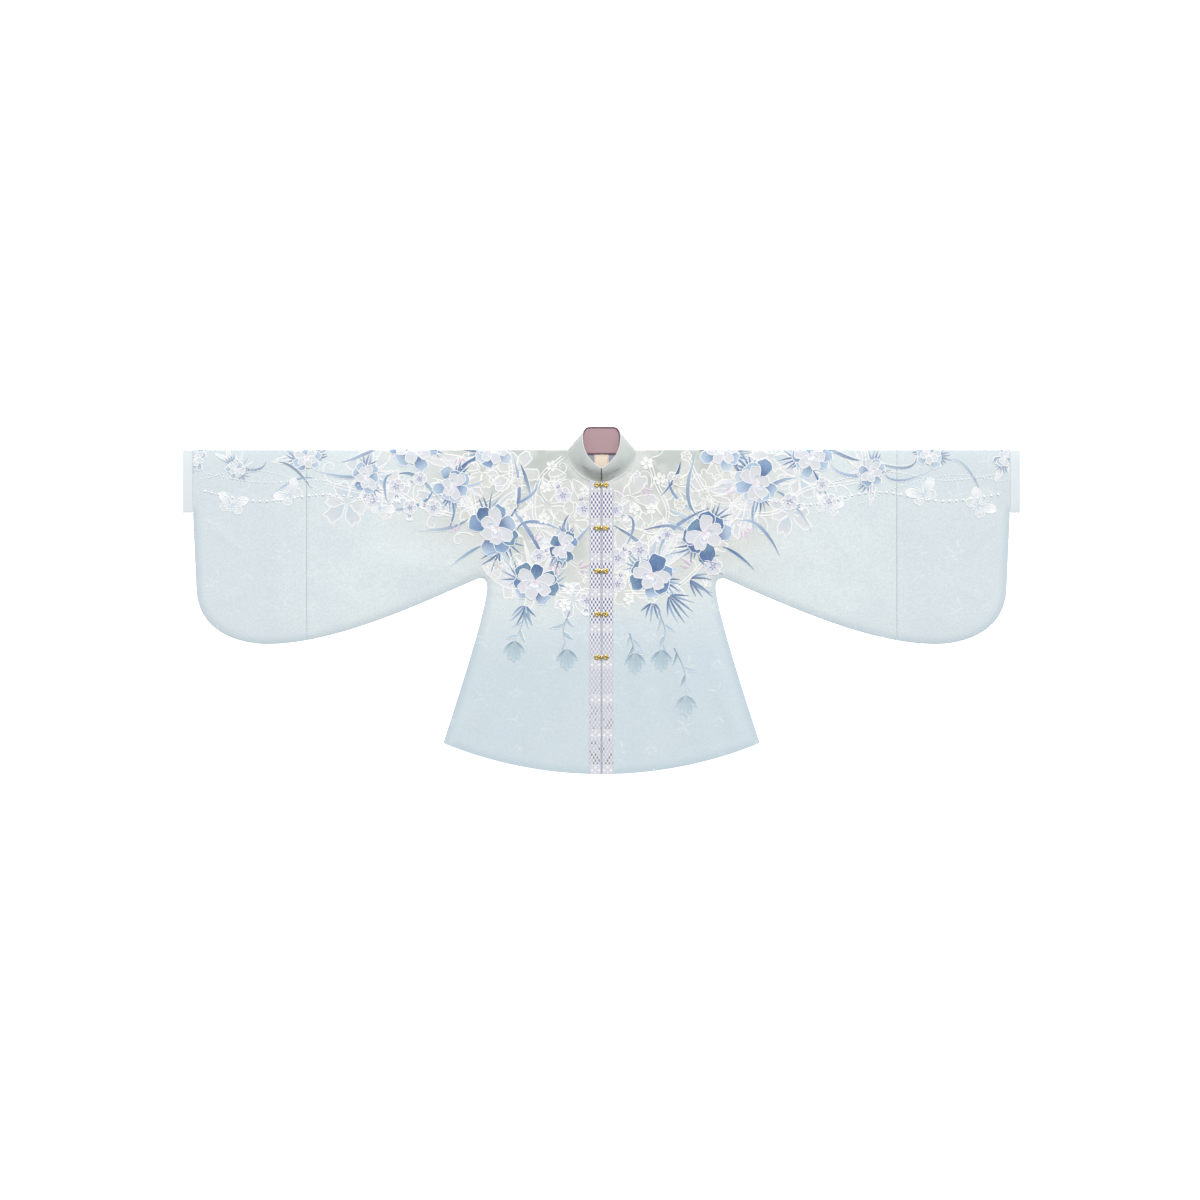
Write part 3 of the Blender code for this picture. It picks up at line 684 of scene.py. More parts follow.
def yoke_grid(first, neckline_y):
    columns = body_columns(first)
    in_neck = columns < NECK_RADIUS - 0.01 * MM
    top_y = np.where(in_neck, np.minimum(neckline_y(columns), -EDGE_RADIUS), -EDGE_RADIUS)
    lower_y = np.interp(SLEEVE.length_at_x(columns), SLEEVE.along, SLEEVE.rolled[:, 1])
    bottom_y = np.where(columns < SLEEVE.rolled[0, 0], SLEEVE.rolled[0, 1], lower_y)
    top = np.stack([columns, top_y], axis=1)
    return blend_rows(top, np.stack([columns, bottom_y], axis=1), YOKE_ROWS)


def skirt_grid(first, gap_at_hem):
    columns = body_columns(first)[:UNDERARM_COLUMN]
    right = SIDE.part(SIDE.along[-1], 0, SKIRT_ROWS)[0]
    band = columns <= PLACKET_WIDTH
    share = (columns - PLACKET_WIDTH) / (columns[-1] - PLACKET_WIDTH)
    flared = PLACKET_WIDTH + share * (right[-1, 0] - PLACKET_WIDTH)
    closing = (PLACKET_WIDTH - columns) / (PLACKET_WIDTH - columns[0])
    hem_x = np.where(band, columns + closing * (gap_at_hem - first), flared)
    top = np.stack([columns, np.full(len(columns), right[0, 1])], axis=1)
    bottom = np.stack([hem_x, hem_y(hem_x)], axis=1)
    bottom[-1] = right[-1]
    left = np.linspace(top[0], bottom[0], SKIRT_ROWS + 1)
    return patch(top, bottom, left, right, lean=3.0)


def upward(points):
    return np.tile((0.0, 1.0), (len(points), 1))


def body_cloth(side):
    cloth = Cloth(side)
    yoke = yoke_grid(FRONT_GAP, front_neck_y)
    cloth.add_front(yoke)
    cloth.add_front(skirt_grid(FRONT_GAP, FRONT_GAP_AT_HEM))
    cloth.add_back(yoke_grid(SEAM_GAP / 2, back_neck_y))
    cloth.add_back(skirt_grid(SEAM_GAP / 2, SEAM_GAP / 2))
    shoulder = yoke[0, NECK_COLUMNS - 1 :]
    cloth.add_roll(shoulder, upward(shoulder))
    cloth.add_roll(*SIDE.part(0, SIDE.along[-1], SKIRT_ROWS))
    sleeve = yoke[-1, UNDERARM_COLUMN - 1 :]
    along = SLEEVE.length_at_x(sleeve[:, 0])
    cloth.add_roll(sleeve, SLEEVE.read(SLEEVE.outward, along))
    return cloth


def sleeve_end_cloth(side):
    first = SLEEVE_SEAM + SEAM_GAP
    near_seam = first + NEAR_SEAM
    bottom, bottom_out = SLEEVE.part(SLEEVE.length_at_x(first + 9 * MM), CORNER_LENGTH, 40)
    along = SLEEVE.length_at_x(near_seam)
    bottom = np.concatenate([SLEEVE.read(SLEEVE.rolled, along), bottom])
    bottom[: len(near_seam), 0] = near_seam
    bottom_out = np.concatenate([SLEEVE.read(SLEEVE.outward, along), bottom_out])
    sewn, sewn_out = SLEEVE.part(SLEEVE.along[-1], CORNER_LENGTH, 46)
    mouth_end = 2.5 * MM - CUFF_DEPTH  # a little above the cuff's corner, to end on a clean row
    mouth = straight((SLEEVE_END, -EDGE_RADIUS), (SLEEVE_END, mouth_end), 24)
    right = np.concatenate([mouth, sewn])
    across = (bottom[:, 0] - first) / (bottom[-1, 0] - first)
    top_x = first + across * (SLEEVE_END - first)
    top_x[: len(near_seam)] = near_seam
    top = np.stack([top_x, np.full(len(top_x), -EDGE_RADIUS)], axis=1)
    left = straight(top[0], bottom[0], len(right))
    grid = patch(top, bottom, left, right)
    cloth = Cloth(side)
    cloth.add_front(grid)
    cloth.add_back(grid)
    cloth.add_roll(top, upward(top))
    cloth.add_roll(bottom, bottom_out)
    cloth.add_roll(sewn, sewn_out)
    return cloth


def cuff_cloth(side):
    columns = np.linspace(SLEEVE_END + SEAM_GAP, CUFF_END, 10)
    top = np.stack([columns, np.full(10, -EDGE_RADIUS)], axis=1)
    bottom = np.stack([columns, np.full(10, EDGE_RADIUS - CUFF_DEPTH)], axis=1)
    grid = blend_rows(top, bottom, 44)
    cloth = Cloth(side)
    cloth.add_front(grid)
    cloth.add_back(grid)
    cloth.add_roll(top, upward(top))
    cloth.add_roll(bottom, -upward(bottom))
    return cloth


print("a body half has", body_cloth(1).count, "points")

# %% [markdown]
# The satin's ground is sage green round the neck and pale icy blue everywhere else, and the two
# run into each other like wet dye. Woven into it, tone on tone, are small leafy sprigs in a
# half-drop repeat, which only show as a slightly paler, glossier figure. The surface is satin, so
# under everything runs a very fine thread that makes the gloss uneven.

# %% The woven figure
REPEAT_X, REPEAT_Y = 148.0, 126.0
WOVEN_SHAPES = [
    # middle x  y, turn, half length, half width, in mm and radians
    (-38, 22, 1.0, 24.0, 0.7),
    (-50, 16, 0.2, 11.0, 2.4),
    (-34, 10, 2.1, 12.0, 2.6),
    (-47, 30, 2.6, 9.5, 2.6),
    (-26, 27, 0.4, 11.0, 2.4),
    (-30, 45, 1.7, 9.5, 2.8),
    (34, -30, 2.2, 20.0, 0.7),
    (24, -26, 3.0, 10.0, 2.6),
    (38, -18, 1.2, 11.0, 2.5),
    (44, -38, 0.1, 9.5, 2.4),
    (26, 34, 0.7, 10.5, 4.2),
    (40, 36, 2.3, 10.5, 4.2),
    (30, 24, 1.1, 5.0, 3.0),
    (37, 25, 2.0, 5.0, 3.0),
]


def petal_mask(paint, x, y, at_x, at_y, turn, long, wide):
    """1 inside an ellipse that is turned and moved, in millimetres."""
    c, s = math.cos(turn), math.sin(turn)
    along = (x - at_x) * c + (y - at_y) * s
    across = (y - at_y) * c - (x - at_x) * s
    return paint.ramp(paint.length(along / long, across / wide), 1.08, 0.92)


def damask(paint, x, y):
    """A woven figure: two leafy sprays and a butterfly, in a half-drop repeat."""
    column = (x / REPEAT_X).math("FLOOR")
    across = x - (column + 0.5) * REPEAT_X
    down = (y + column * (REPEAT_Y / 2)) % REPEAT_Y - REPEAT_Y / 2
    masks = [petal_mask(paint, across, down, *shape) for shape in WOVEN_SHAPES]
    return functools.reduce(Value.larger, masks)


print("the woven figure repeats every", REPEAT_X, "by", REPEAT_Y, "mm")

# %% [markdown]
# The ground's dye is two ramps, one out from the neck and one down the skirt, whose edges are
# moved about by slow noise, as wet dye would be. It could be painted by hand on the UV map, but
# a formula has no seams between front, sleeve and back. The figure is laid over it.

# %% The dyed ground
SAGE, DEEP_SAGE = from_screen(229, 230, 224), from_screen(199, 204, 198)
SLEEVE_BLUE, SKIRT_BLUE = from_screen(231, 239, 240), from_screen(213, 225, 231)
END_BLUE = from_screen(224, 233, 236)


def satin_ground(paint, at, x, y):
    """The dyed ground, from the sage yoke out to the blue sleeves and skirt, with painted shade near the
    lower edges.
    """
    cloudy = paint.noise(at, 5.5, 3.0)
    reach = paint.length(x / 0.50, (y + 0.03) / 0.36) + (cloudy - 0.5) * 0.40
    skirt = paint.ramp(y, -0.30, -0.47) * paint.ramp(abs(x), 0.46, 0.30)
    skirt = skirt * (0.8 + cloudy * 0.4)
    ends = paint.ramp(abs(x), 0.50, 0.76)
    blue = paint.mix(skirt, paint.mix(ends, SLEEVE_BLUE, END_BLUE), SKIRT_BLUE)
    # Partly painted sheen: the sage is darker near the neck in its own dye, and its soft lighter and darker
    # clouds are painted to stand in for the satin's uneven sheen.
    clouds = paint.noise(at, 9.0, 3.0) + (paint.noise(at, 24.0, 3.0) - 0.5) * 0.9
    sage = paint.mix(paint.ramp(clouds, 0.34, 0.68) * paint.ramp(reach, 1.0, 0.35), SAGE, DEEP_SAGE)
    tinted = paint.ramp(paint.noise(at, 6.0, 3.0, 0.6), 0.44, 0.66)
    blue = paint.mix(tinted * 0.26, blue, from_screen(214, 226, 234))
    dyed = paint.mix(paint.ramp(reach, 0.62, 1.06), sage, blue)
    seam = paint.ramp(abs(abs(x) - SLEEVE_SEAM), 1.5 * MM, 0.7 * MM)
    dyed = paint.mix(seam * 0.6, dyed, from_screen(176, 194, 204))
    # Painted shade: the ground is darkened towards the hem, the sides and the sleeve's edge, where the cloth
    # rolls away from the light.
    inside = paint.node("ShaderNodeAttribute", {"attribute_name": "inside"}, output="Fac")
    return paint.mix(paint.ramp(inside, 1.0, 0.0) * 0.42, dyed, from_screen(172, 194, 206))


def make_satin():
    paint = Paint("figured_satin", Sheen_Weight=0.25, Sheen_Roughness=0.35)
    at, x, y = paint.place()
    down = y - SHOULDER_Y
    ground = satin_ground(paint, at, x, down)
    slub = paint.noise(paint.stretched(at, 900, 60, 400), 1.0, 2.0, 0.6)
    thread = paint.thread(at, 420.0, Distortion=1.2, Detail=1.0)
    figure = damask(paint, x / MM, down / MM)
    quiet = paint.ramp(paint.noise(at, 7.0, 2.0), 0.36, 0.62)
    broken = paint.ramp(paint.noise(at, 150.0, 2.0), 0.34, 0.6)
    figure = figure * (0.2 + quiet * 0.8) * (0.3 + broken * 0.7)
    ground = paint.mix(figure * 0.42, ground, from_screen(246, 250, 251))
    grain = slub * 0.35 + paint.ramp(paint.noise(at, 260.0, 2.0), 0.32, 0.68) * 0.65
    paint.color(paint.mix((grain - 0.2) * 0.42, ground, from_screen(190, 204, 210)))
    paint.rough(0.46 + slub * 0.08 - figure * 0.10)
    paint.bump(thread * 0.25 + slub * 0.35 + figure * 0.4, 0.10 * MM, 0.35)
    return paint


satin = make_satin()
print("satin for the body and the sleeves:", satin.material.name)

# %% [markdown]
# The other cloths are plain: cuffs, linings, cords and tapes. Up close they show two crossing
# threads, and from afar only a slow change of shade. One function makes them all, and takes
# another that may dye the ground, since the lining turns blue behind the opening of the fronts.

# %% Plain cloths
def make_plain_cloth(name, colour, shade, roughness, weave=520.0, dyed=None):
    """Plain woven cloth: two crossing threads and a slow change of shade, and then any dyeing."""
    paint = Paint(name, roughness=roughness, Sheen_Weight=0.2)
    at, x, y = paint.place()
    warp, weft = (paint.thread(at, weave, way, Distortion=0.8, Detail=1.0) for way in "XY")
    slow = paint.noise(at, 30.0, 3.0)
    ground = paint.mix(slow * 0.5 + warp * 0.15, from_screen(*colour), from_screen(*shade))
    paint.color(dyed(paint, ground, x, y - SHOULDER_Y) if dyed else ground)
    paint.bump(warp * 0.5 + weft * 0.5, 0.12 * MM, 0.4)
    return paint


def blue_facing(paint, ground, x, down):
    """The facing behind the opening is blue, and shows in the gap below the last clasp."""
    facing = paint.ramp(abs(x), 9 * MM, 6 * MM) * paint.ramp(down, -0.30, -0.50)
    return paint.mix(facing, ground, from_screen(128, 142, 188))


inside_cloth = make_plain_cloth("inner_lining", (178, 182, 196), (156, 160, 176), 0.7, dyed=blue_facing)
cuff_satin = make_plain_cloth("cuff_satin", (233, 240, 243), (222, 232, 236), 0.5)
print("plain cloths:", inside_cloth.material.name, cuff_satin.material.name)

# %% [markdown]
# The big sheets are made now: two body halves, two sleeve ends and two cuffs. Each replaces its solid in the
# frame. Each sheet also keeps the size that its cloth was cut to. For a tube that is the whole way round:
# front and back together, opened out at the shoulder fold.

# %% Body, sleeves and cuffs
SHEETS = {}
BOTH_FRONTS = ["body_left_satin", "body_right_satin"]


def cloth_area(piece):
    """Half of a thin wall's surface is the area of its cloth."""
    return sum(face.area for face in piece.data.polygons) / 2


CLOTH_WALL = {"thickness": 1.0 * MM, "offset": -1.0, "use_even_offset": True, "material_offset": 1}
CUTS_OF_CLOTH = [
    # name of the node, of the piece, the cut, its paints, its slot, its flat size
    ("body", "satin", body_cloth, (satin, inside_cloth), "satin", (SLEEVE_SEAM, 2 * LENGTH)),
    (
        "sleeve_end",
        "satin",
        sleeve_end_cloth,
        (satin, inside_cloth),
        "satin",
        (SLEEVE_END - SLEEVE_SEAM, 2 * -SLEEVE_LOWEST[1]),
    ),
    ("cuff", "band", cuff_cloth, (cuff_satin,) * 2, "cuff_cloth", (CUFF_END - SLEEVE_END, 2 * CUFF_DEPTH)),
]
for word, side in SIDES.items():
    for node, kind, cut, paints, slot, flat_size in CUTS_OF_CLOTH:
        piece = put(f"{node}_{word}_{kind}", cut(side).mesh(node), *paints)
        modify(piece, SOLIDIFY=CLOTH_WALL)
        settle(piece, slot, f"{node}_{word}")
        SHEETS[piece.name] = (piece, flat_size, ["the surface it is laid out on"])
print("sheets so far", [name for name in SHEETS])

# %% [markdown]
# The stand collar is a strip of stiffened satin. At the back it lies flat on the table, then it
# turns over at the shoulder and stands up towards the front, where its two ends meet. So it is
# ruled between two lines: its foot, just inside the neckline, and its top edge, which is given
# by a few places in a table. Near its front ends the satin has buckled. The second table holds
# those creases.

# %% The collar's surface
COLLAR_CLOTH = 1.6 * MM
# In front the collar leaves the chest gently and then rises, so its section is a slight S.
COLLAR_BULGE, COLLAR_FLARE = 3.0 * MM, 2.0 * MM
FOOT_ANGLES = (0.4, 10.0, 20.1, 33, 45, 57, 68.5, 80, 90)
COLLAR_TOP = [
    # round   x      y      z
    (0.00, 0.0, 50.0, 0.8),
    (0.12, 16.0, 50.0, 0.8),
    (0.25, 29.0, 49.2, 0.9),
    (0.33, 35.0, 46.6, 1.7),
    (0.39, 39.0, 42.0, 4.2),
    (0.45, 41.3, 35.5, 7.6),
    (0.55, 42.0, 23.0, 11.8),
    (0.66, 39.5, 6.0, 16.5),
    (0.77, 33.0, -10.5, 20.5),
    (0.88, 21.0, -26.5, 24.5),
    (1.00, 0.7, -42.5, 28.5),
]
# Three places of its foot, in mm, where it turns over at the shoulder.
COLLAR_TURN = [(73.6, -2.6, 1.4), (74.7, -1.5, 3.4), (74.5, -5.0, 5.2)]
COLLAR_CREASES = [
    # from x   y     to x    y   wide  high, in mm
    (-43, -33, -16, -49, 9.0, 1.5),
    (-36, -47, -12, -59, 8.0, 0.6),
    (44, -38, 8, -54, 10.0, 1.1),
    (30, -56, 12, -66, 6.0, 0.9),
    (22, -64, 3, -67, 3.4, 0.8),
    (-9, -64, -24, -61, 4.0, 0.5),
    (60, -12, 52, -38, 10.0, 0.5),
    (-60, -14, -53, -36, 9.0, 0.4),
]
COLLAR_COLUMNS = 170


def smooth_through(knots, rows, at):
    """Reads a smooth curve through rows of values, each at its own knot."""
    slopes = np.gradient(rows, knots, axis=0)
    i = np.clip(np.searchsorted(knots, at, side="right") - 1, 0, len(knots) - 2)
    width = (knots[i + 1] - knots[i])[:, None]
    t = ((at - knots[i]) / (knots[i + 1] - knots[i]))[:, None]
    return (
        (2 * t**3 - 3 * t**2 + 1) * rows[i]
        + (t**3 - 2 * t**2 + t) * width * slopes[i]
        + (3 * t**2 - 2 * t**3) * rows[i + 1]
        + (t**3 - t**2) * width * slopes[i + 1]
    )


def creases(points, table):
    """Folds that rise slowly and then drop sharply towards the hem, in a dark line."""
    height = np.zeros(len(points))
    for x0, y0, x1, y1, wide, high in table:
        start, run = np.array((x0, y0)) * MM, np.array((x1 - x0, y1 - y0)) * MM
        away, t = from_segment(points, start, start + run)
        below = run[0] * (points[:, 1] - start[1]) - run[1] * (points[:, 0] - start[0])
        below = below * np.sign(run[0]) < 0
        reach = np.where(below, wide / 5, wide) * MM
        height += high * MM * np.exp(-((away / reach) ** 2)) * np.sqrt(4 * t * (1 - t))
    return height


def shares(line):
    return lengths_along(line) / lengths_along(line)[-1]


def collar_half(rows):
    angles = np.radians(FOOT_ANGLES)
    across = NECK_RADIUS * np.sin(angles)[:-2]
    across[0] = 0
    back = [(x, back_neck_y(x) + SEAM_GAP, COLLAR_CLOTH / 2) for x in across]
    turn = np.array(COLLAR_TURN) * MM
    inset = SEAM_GAP + COLLAR_CLOTH / 2
    height = NECK_HEIGHT - 0.75 * MM
    wide, deep = NECK_RADIUS - inset, NECK_DEPTH - inset
    front = [(wide * math.sin(a), -deep * math.cos(a), height) for a in angles[-2::-1]]
    coarse = np.concatenate([back, turn, front])
    at = np.linspace(0, 1, COLLAR_COLUMNS)
    foot = smooth_through(shares(coarse), coarse, at)
    table = np.array(COLLAR_TOP)
    top = smooth_through(table[:, 0], table[:, 1:] * MM, at)
    outward = foot * (1, 1, 0)
    outward /= np.linalg.norm(outward, axis=1)[:, None]
    swell = COLLAR_BULGE * smooth_step(at, 0.42, 0.7)[:, None] * (0.7 * outward + (0, 0, 0.7))
    flare = COLLAR_FLARE * smooth_step(at, 0.6, 0.85)[:, None] * (0, 0, -1)
    bends = [(math.sin(math.pi * v), math.sin(2 * math.pi * v)) for v in rows]
    ruled = [(1 - v) * foot + v * top for v in rows]
    return np.array([line + a * swell + b * flare for line, (a, b) in zip(ruled, bends)])


def towards_neck(grid):
    normal = np.cross(np.gradient(grid, axis=1), np.gradient(grid, axis=0))
    normal /= np.linalg.norm(normal, axis=-1)[..., None]
    return normal if normal[0, grid.shape[1] // 2, 2] > 0 else -normal


def collar_grid(rows):
    """The whole collar's middle surface and its directions, with its creases."""
    half = collar_half(rows)
    grid = np.concatenate([half[:, :0:-1] * (-1, 1, 1), half], axis=1)
    direction = towards_neck(grid)
    flat = grid[..., :2].reshape(-1, 2)
    bulges = creases(flat, COLLAR_CREASES).reshape(grid.shape[:2])
    rise = smooth_step(grid[..., 2], 6 * MM, 9 * MM)
    return grid - (bulges * rise)[..., None] * direction, direction


print("the collar stands on", len(COLLAR_TURN) + 2 * len(FOOT_ANGLES) - 3, "places of its foot")

# %% [markdown]
# A sheet of cloth that isn't folded over is a closed wall: a lower grid, an upper grid, and a
# rim between them. Solidify would do it too, but here both sides are already known. The cords
# that cover the edges are curves with a round bevel, turned into meshes: the quick way to a tube.

# %% Walls and cords
def wall_faces(rows, columns):
    """The faces of a lower grid, an upper grid, and the rim that closes them."""
    index = np.arange(rows * columns).reshape(rows, columns)
    rim = np.concatenate([index[0, :-1], index[:-1, -1], index[-1, :0:-1], index[:0:-1, 0]])
    after = np.roll(rim, -1)
    sides = np.stack((rim, after, after + index.size, rim + index.size), axis=-1)
    return np.concatenate([grid_faces(index), grid_faces(index + index.size), sides])


def wall_mesh(name, lower, upper):
    """A closed wall between a lower and an upper grid of points."""
    points = np.concatenate([lower.reshape(-1, 3), upper.reshape(-1, 3)]) + (0, SHOULDER_Y, 0)
    points[:, 2] = np.maximum(points[:, 2], 0)
    mesh = bpy.data.meshes.new(name)
    mesh.from_pydata(points.tolist(), [], wall_faces(*lower.shape[:2]).tolist())
    surface = bmesh.new()
    surface.from_mesh(mesh)
    bmesh.ops.recalc_face_normals(surface, faces=surface.faces)
    surface.to_mesh(mesh)
    surface.free()
    mesh.shade_smooth()
    mesh.set_sharp_from_angle(angle=math.radians(55))
    return mesh


def piping(name, points, radius, paint, slot, closed=False):
    """A thin covered cord, sewn along an edge."""
    line = bpy.data.curves.new(name, "CURVE")
    line.dimensions = "3D"
    line.bevel_depth = radius
    line.bevel_resolution = 2
    line.use_fill_caps = True
    run = line.splines.new("POLY")
    run.points.add(len(points) - 1)
    for spot, (x, y, z) in zip(run.points, points):
        spot.co = (x, y + SHOULDER_Y, z, 1)
    run.use_cyclic_u = closed
    choose(put(name, line, paint))
    bpy.ops.object.convert(target="MESH")
    piece = bpy.context.object
    piece.data.shade_smooth()
    return settle(piece, slot)


print("a wall between two grids of 3 by 3 points has", len(wall_faces(3, 3)), "faces")

# %% [markdown]
# The collar's satin is plain, and a shade greener than the yoke. In front its colour carries painted shade at
# mid-height, painted light at its foot and a painted shadow along the slit between its ends. Its top edge is
# piped in a very pale cord. Inside, the lining is dusty pink with a dark red binding, and it is what the
# picture shows at the back of the neck. Each neck seam has a cord of its own.

# %% Collar and lining
def collar_painted_shade(paint, ground, x, down):
    """In front: painted shade at mid-height, painted light at its foot, and a painted shadow along the slit
    in the middle.
    """
    reach = paint.length(x, down)
    in_front = paint.ramp(down, -0.015, -0.05)
    # Painted shade: the front of the collar is darkened at mid-height, where it leans away from the light.
    painted_mid_shade = paint.ramp(reach, NECK_RADIUS - 14 * MM, NECK_RADIUS - 26 * MM)
    painted_mid_shade = painted_mid_shade * paint.ramp(x, -0.01, 0.02)
    ground = paint.mix(painted_mid_shade * in_front * 0.28, ground, from_screen(170, 180, 178))
    # Painted light: the front of the collar is lightened near its foot.
    foot = paint.ramp(reach, NECK_RADIUS - 13 * MM, NECK_RADIUS - 1 * MM)
    ground = paint.mix(foot * in_front * 0.55, ground, from_screen(247, 249, 246))
    # Painted shadow: a dark line along the slit between the collar's two ends.
    slit = paint.ramp(abs(x), 2.1 * MM, 1.0 * MM)
    return paint.mix(slit * in_front * 0.85, ground, from_screen(78, 90, 98))


collar_satin = make_plain_cloth(
    "collar_satin", (206, 211, 207), (186, 193, 190), 0.42, 460.0, collar_painted_shade
)
pale_cord = make_plain_cloth("pale_cord", (234, 241, 240), (224, 234, 232), 0.5, 700.0)
pink_cloth = make_plain_cloth("pink_lining", (188, 158, 164), (178, 147, 153), 0.75, 380.0)
dark_binding = make_plain_cloth("dark_binding", (132, 88, 100), (112, 72, 84), 0.7, 600.0)
LINING_CLOTH = 0.9 * MM
COLLAR_CUT_HEIGHT, LINING_CUT_HEIGHT = 62.5 * MM, 54 * MM
PIPING_RADIUS, NECK_CORD_RADIUS, BINDING_RADIUS = 0.85 * MM, 0.9 * MM, 1.5 * MM

surface_grid, neckward = collar_grid(np.linspace(0, 1, 49))
half_wall = COLLAR_CLOTH / 2 * neckward
collar_mesh = wall_mesh("collar", surface_grid - half_wall, surface_grid + half_wall)
collar = put("collar_strip", collar_mesh, collar_satin)
settle(collar, "collar_satin", "collar")
collar_length = lengths_along(surface_grid[12])[-1]
SHEETS[collar.name] = (collar, (collar_length, COLLAR_CUT_HEIGHT), BOTH_FRONTS)
top_line = surface_grid[-1] + (surface_grid[-1] - surface_grid[-3]) * 0.12
top_line[:, 2] = np.maximum(top_line[:, 2], PIPING_RADIUS)
piping("collar_piping", top_line[1:-1], PIPING_RADIUS, pale_cord, "collar_satin")

for word, hand in SIDES.items():
    around = hand * np.radians(np.linspace(1.4, 89, 80))
    height = np.full(len(around), NECK_HEIGHT + 0.4 * MM)
    neck_line = np.column_stack([NECK_RADIUS * np.sin(around), -NECK_DEPTH * np.cos(around), height])
    piping(f"neck_seam_{word}", neck_line, NECK_CORD_RADIUS, pale_cord, "collar_satin")

inner, direction = surface_grid[1:-1], neckward[1:-1]
outside = inner + (COLLAR_CLOTH / 2 + SEAM_GAP) * direction
inside = inner + (COLLAR_CLOTH / 2 + SEAM_GAP + LINING_CLOTH) * direction
lining = put("collar_lining_strip", wall_mesh("lining", outside, inside), pink_cloth)
settle(lining, "collar_lining", "collar_lining")
SHEETS[lining.name] = (lining, (collar_length, LINING_CUT_HEIGHT), [collar.name])
border = np.concatenate([inside[0, 2:-2], inside[1:-1, -2], inside[-1, -3:1:-1], inside[-2:0:-1, 1]])
piping("collar_binding", border, BINDING_RADIUS, dark_binding, "collar_lining", closed=True)
print("collar is", round(collar_length, 3), "m long")

# %% [markdown]
# The label is a small woven tape on the inside of the back, under the lining's lower edge. Its
# lower corners curl up a little. It is blank, with a plain woven line as its frame.

# %% Label
label_cloth = make_plain_cloth("label_tape", (254, 243, 221), (249, 231, 206), 0.6, 900.0)
woven_line = make_plain_cloth("label_frame", (222, 172, 140), (206, 150, 118), 0.6, 900.0)
LABEL_CLOTH, LABEL_CURL, LABEL_MARGIN, LABEL_THREAD = 0.5 * MM, 0.5 * MM, 2.2 * MM, 0.22 * MM
label_top, label_foot = LABEL_HIGH.y - SHOULDER_Y, LABEL_LOW.y - SHOULDER_Y


def curled(x, y):
    """How high the tape lies: its corners curl up towards the foot."""
    curl = LABEL_CURL * np.square(x / LABEL_HIGH.x) * smooth_step(-y, -label_top, -label_foot)
    return LABEL_LOW.z + curl


flat_x, flat_y = np.meshgrid(
    np.linspace(LABEL_LOW.x, LABEL_HIGH.x, 24), np.linspace(label_top, label_foot, 26)
)
tape = np.stack([flat_x, flat_y, curled(flat_x, flat_y)], axis=-1)
label = put("label_tape", wall_mesh("label", tape, tape + (0, 0, LABEL_CLOTH)), label_cloth)
settle(label, "label", "label")
label_size = (LABEL_HIGH.x - LABEL_LOW.x, LABEL_HIGH.y - LABEL_LOW.y)
SHEETS[label.name] = (label, label_size, BOTH_FRONTS)

edge_x = LABEL_HIGH.x - LABEL_MARGIN
high_y, low_y = label_top - LABEL_MARGIN, label_foot + LABEL_MARGIN
corners = [(-edge_x, high_y), (edge_x, high_y), (edge_x, low_y), (-edge_x, low_y)]
sides = [straight(start, end, 16)[:-1] for start, end in zip(corners, corners[1:] + corners[:1])]
frame_line = np.concatenate(sides)
frame_line = with_height(frame_line, curled(*frame_line.T) + 0.62 * MM)
piping("label_woven_frame", frame_line, LABEL_THREAD, woven_line, "label", closed=True)
print("label is", [round(side / MM, 1) for side in label_size], "mm")

# %% [markdown]
# Down each front edge runs a band of brocade. Its pattern is an old one: upright lozenges in
# violet and white, like a net, broken at every hand's width by a row with a small round flower.
# Lower down the violet fades to a silvery lilac. The band has its own UV map, in metres across
# and along, so that the pattern follows its edge.

# %% The front bands
BAND_COLUMNS, BAND_ROWS = 14, 420
BAND_CLOTH, BAND_PADDING = 0.45 * MM, 0.35 * MM
CORD_RADIUS = 0.65 * MM


def band_grid(side):
    """The points of one band: from the front edge outward, and from the neck to the hem."""
    share = np.linspace(0, 1, BAND_COLUMNS + 1)
    down = np.linspace(0, 1, BAND_ROWS + 1)[:, None]
    gap = FRONT_GAP + (FRONT_GAP_AT_HEM - FRONT_GAP) * smooth_step(down, 0.35, 1)
    x = gap + (PLACKET_WIDTH - 0.6 * MM + 1.6 * MM * down - gap) * share[None]
    top, bottom = front_neck_y(x) - 0.2 * MM, hem_y(x)
    y = top + (bottom - top) * down
    flat = np.stack([x * side, y], axis=-1)
    return flat, np.stack([(x - FRONT_GAP) * np.ones_like(y), -y], axis=-1)


def band_heights(flat):
    return front_surface(flat.reshape(-1, 2)).reshape(flat.shape[:2]) + SEAM_GAP


def add_uv(mesh, name, values):
    """A UV map, from one pair of values for each point."""
    corners = np.zeros(len(mesh.loops), int)
    mesh.loops.foreach_get("vertex_index", corners)
    pairs = values[corners].astype(np.float32)
    mesh.uv_layers.new(name=name).data.foreach_set("uv", pairs.ravel())


print("a band has", BAND_COLUMNS, "by", BAND_ROWS, "faces on each side")

# %% [markdown]
# A real brocade repeats by its loom, so its pattern is a sum of repeats: which lozenge a place is
# in, how far it is from the lozenge's middle, and how far it is from the next row of flowers. It
# could be a picture, but as nodes it stays sharp at any distance. Here u runs across and v along.

# %% The lattice brocade
BAND_MIDDLE = 12.6  # this and the next measures are in mm
LOZENGE_ACROSS, LOZENGE_DOWN = 4.1, 6.45
FLOWER_PERIOD, FIRST_FLOWER, FLOWER_HALF = 77.4, 82.8, 10.8


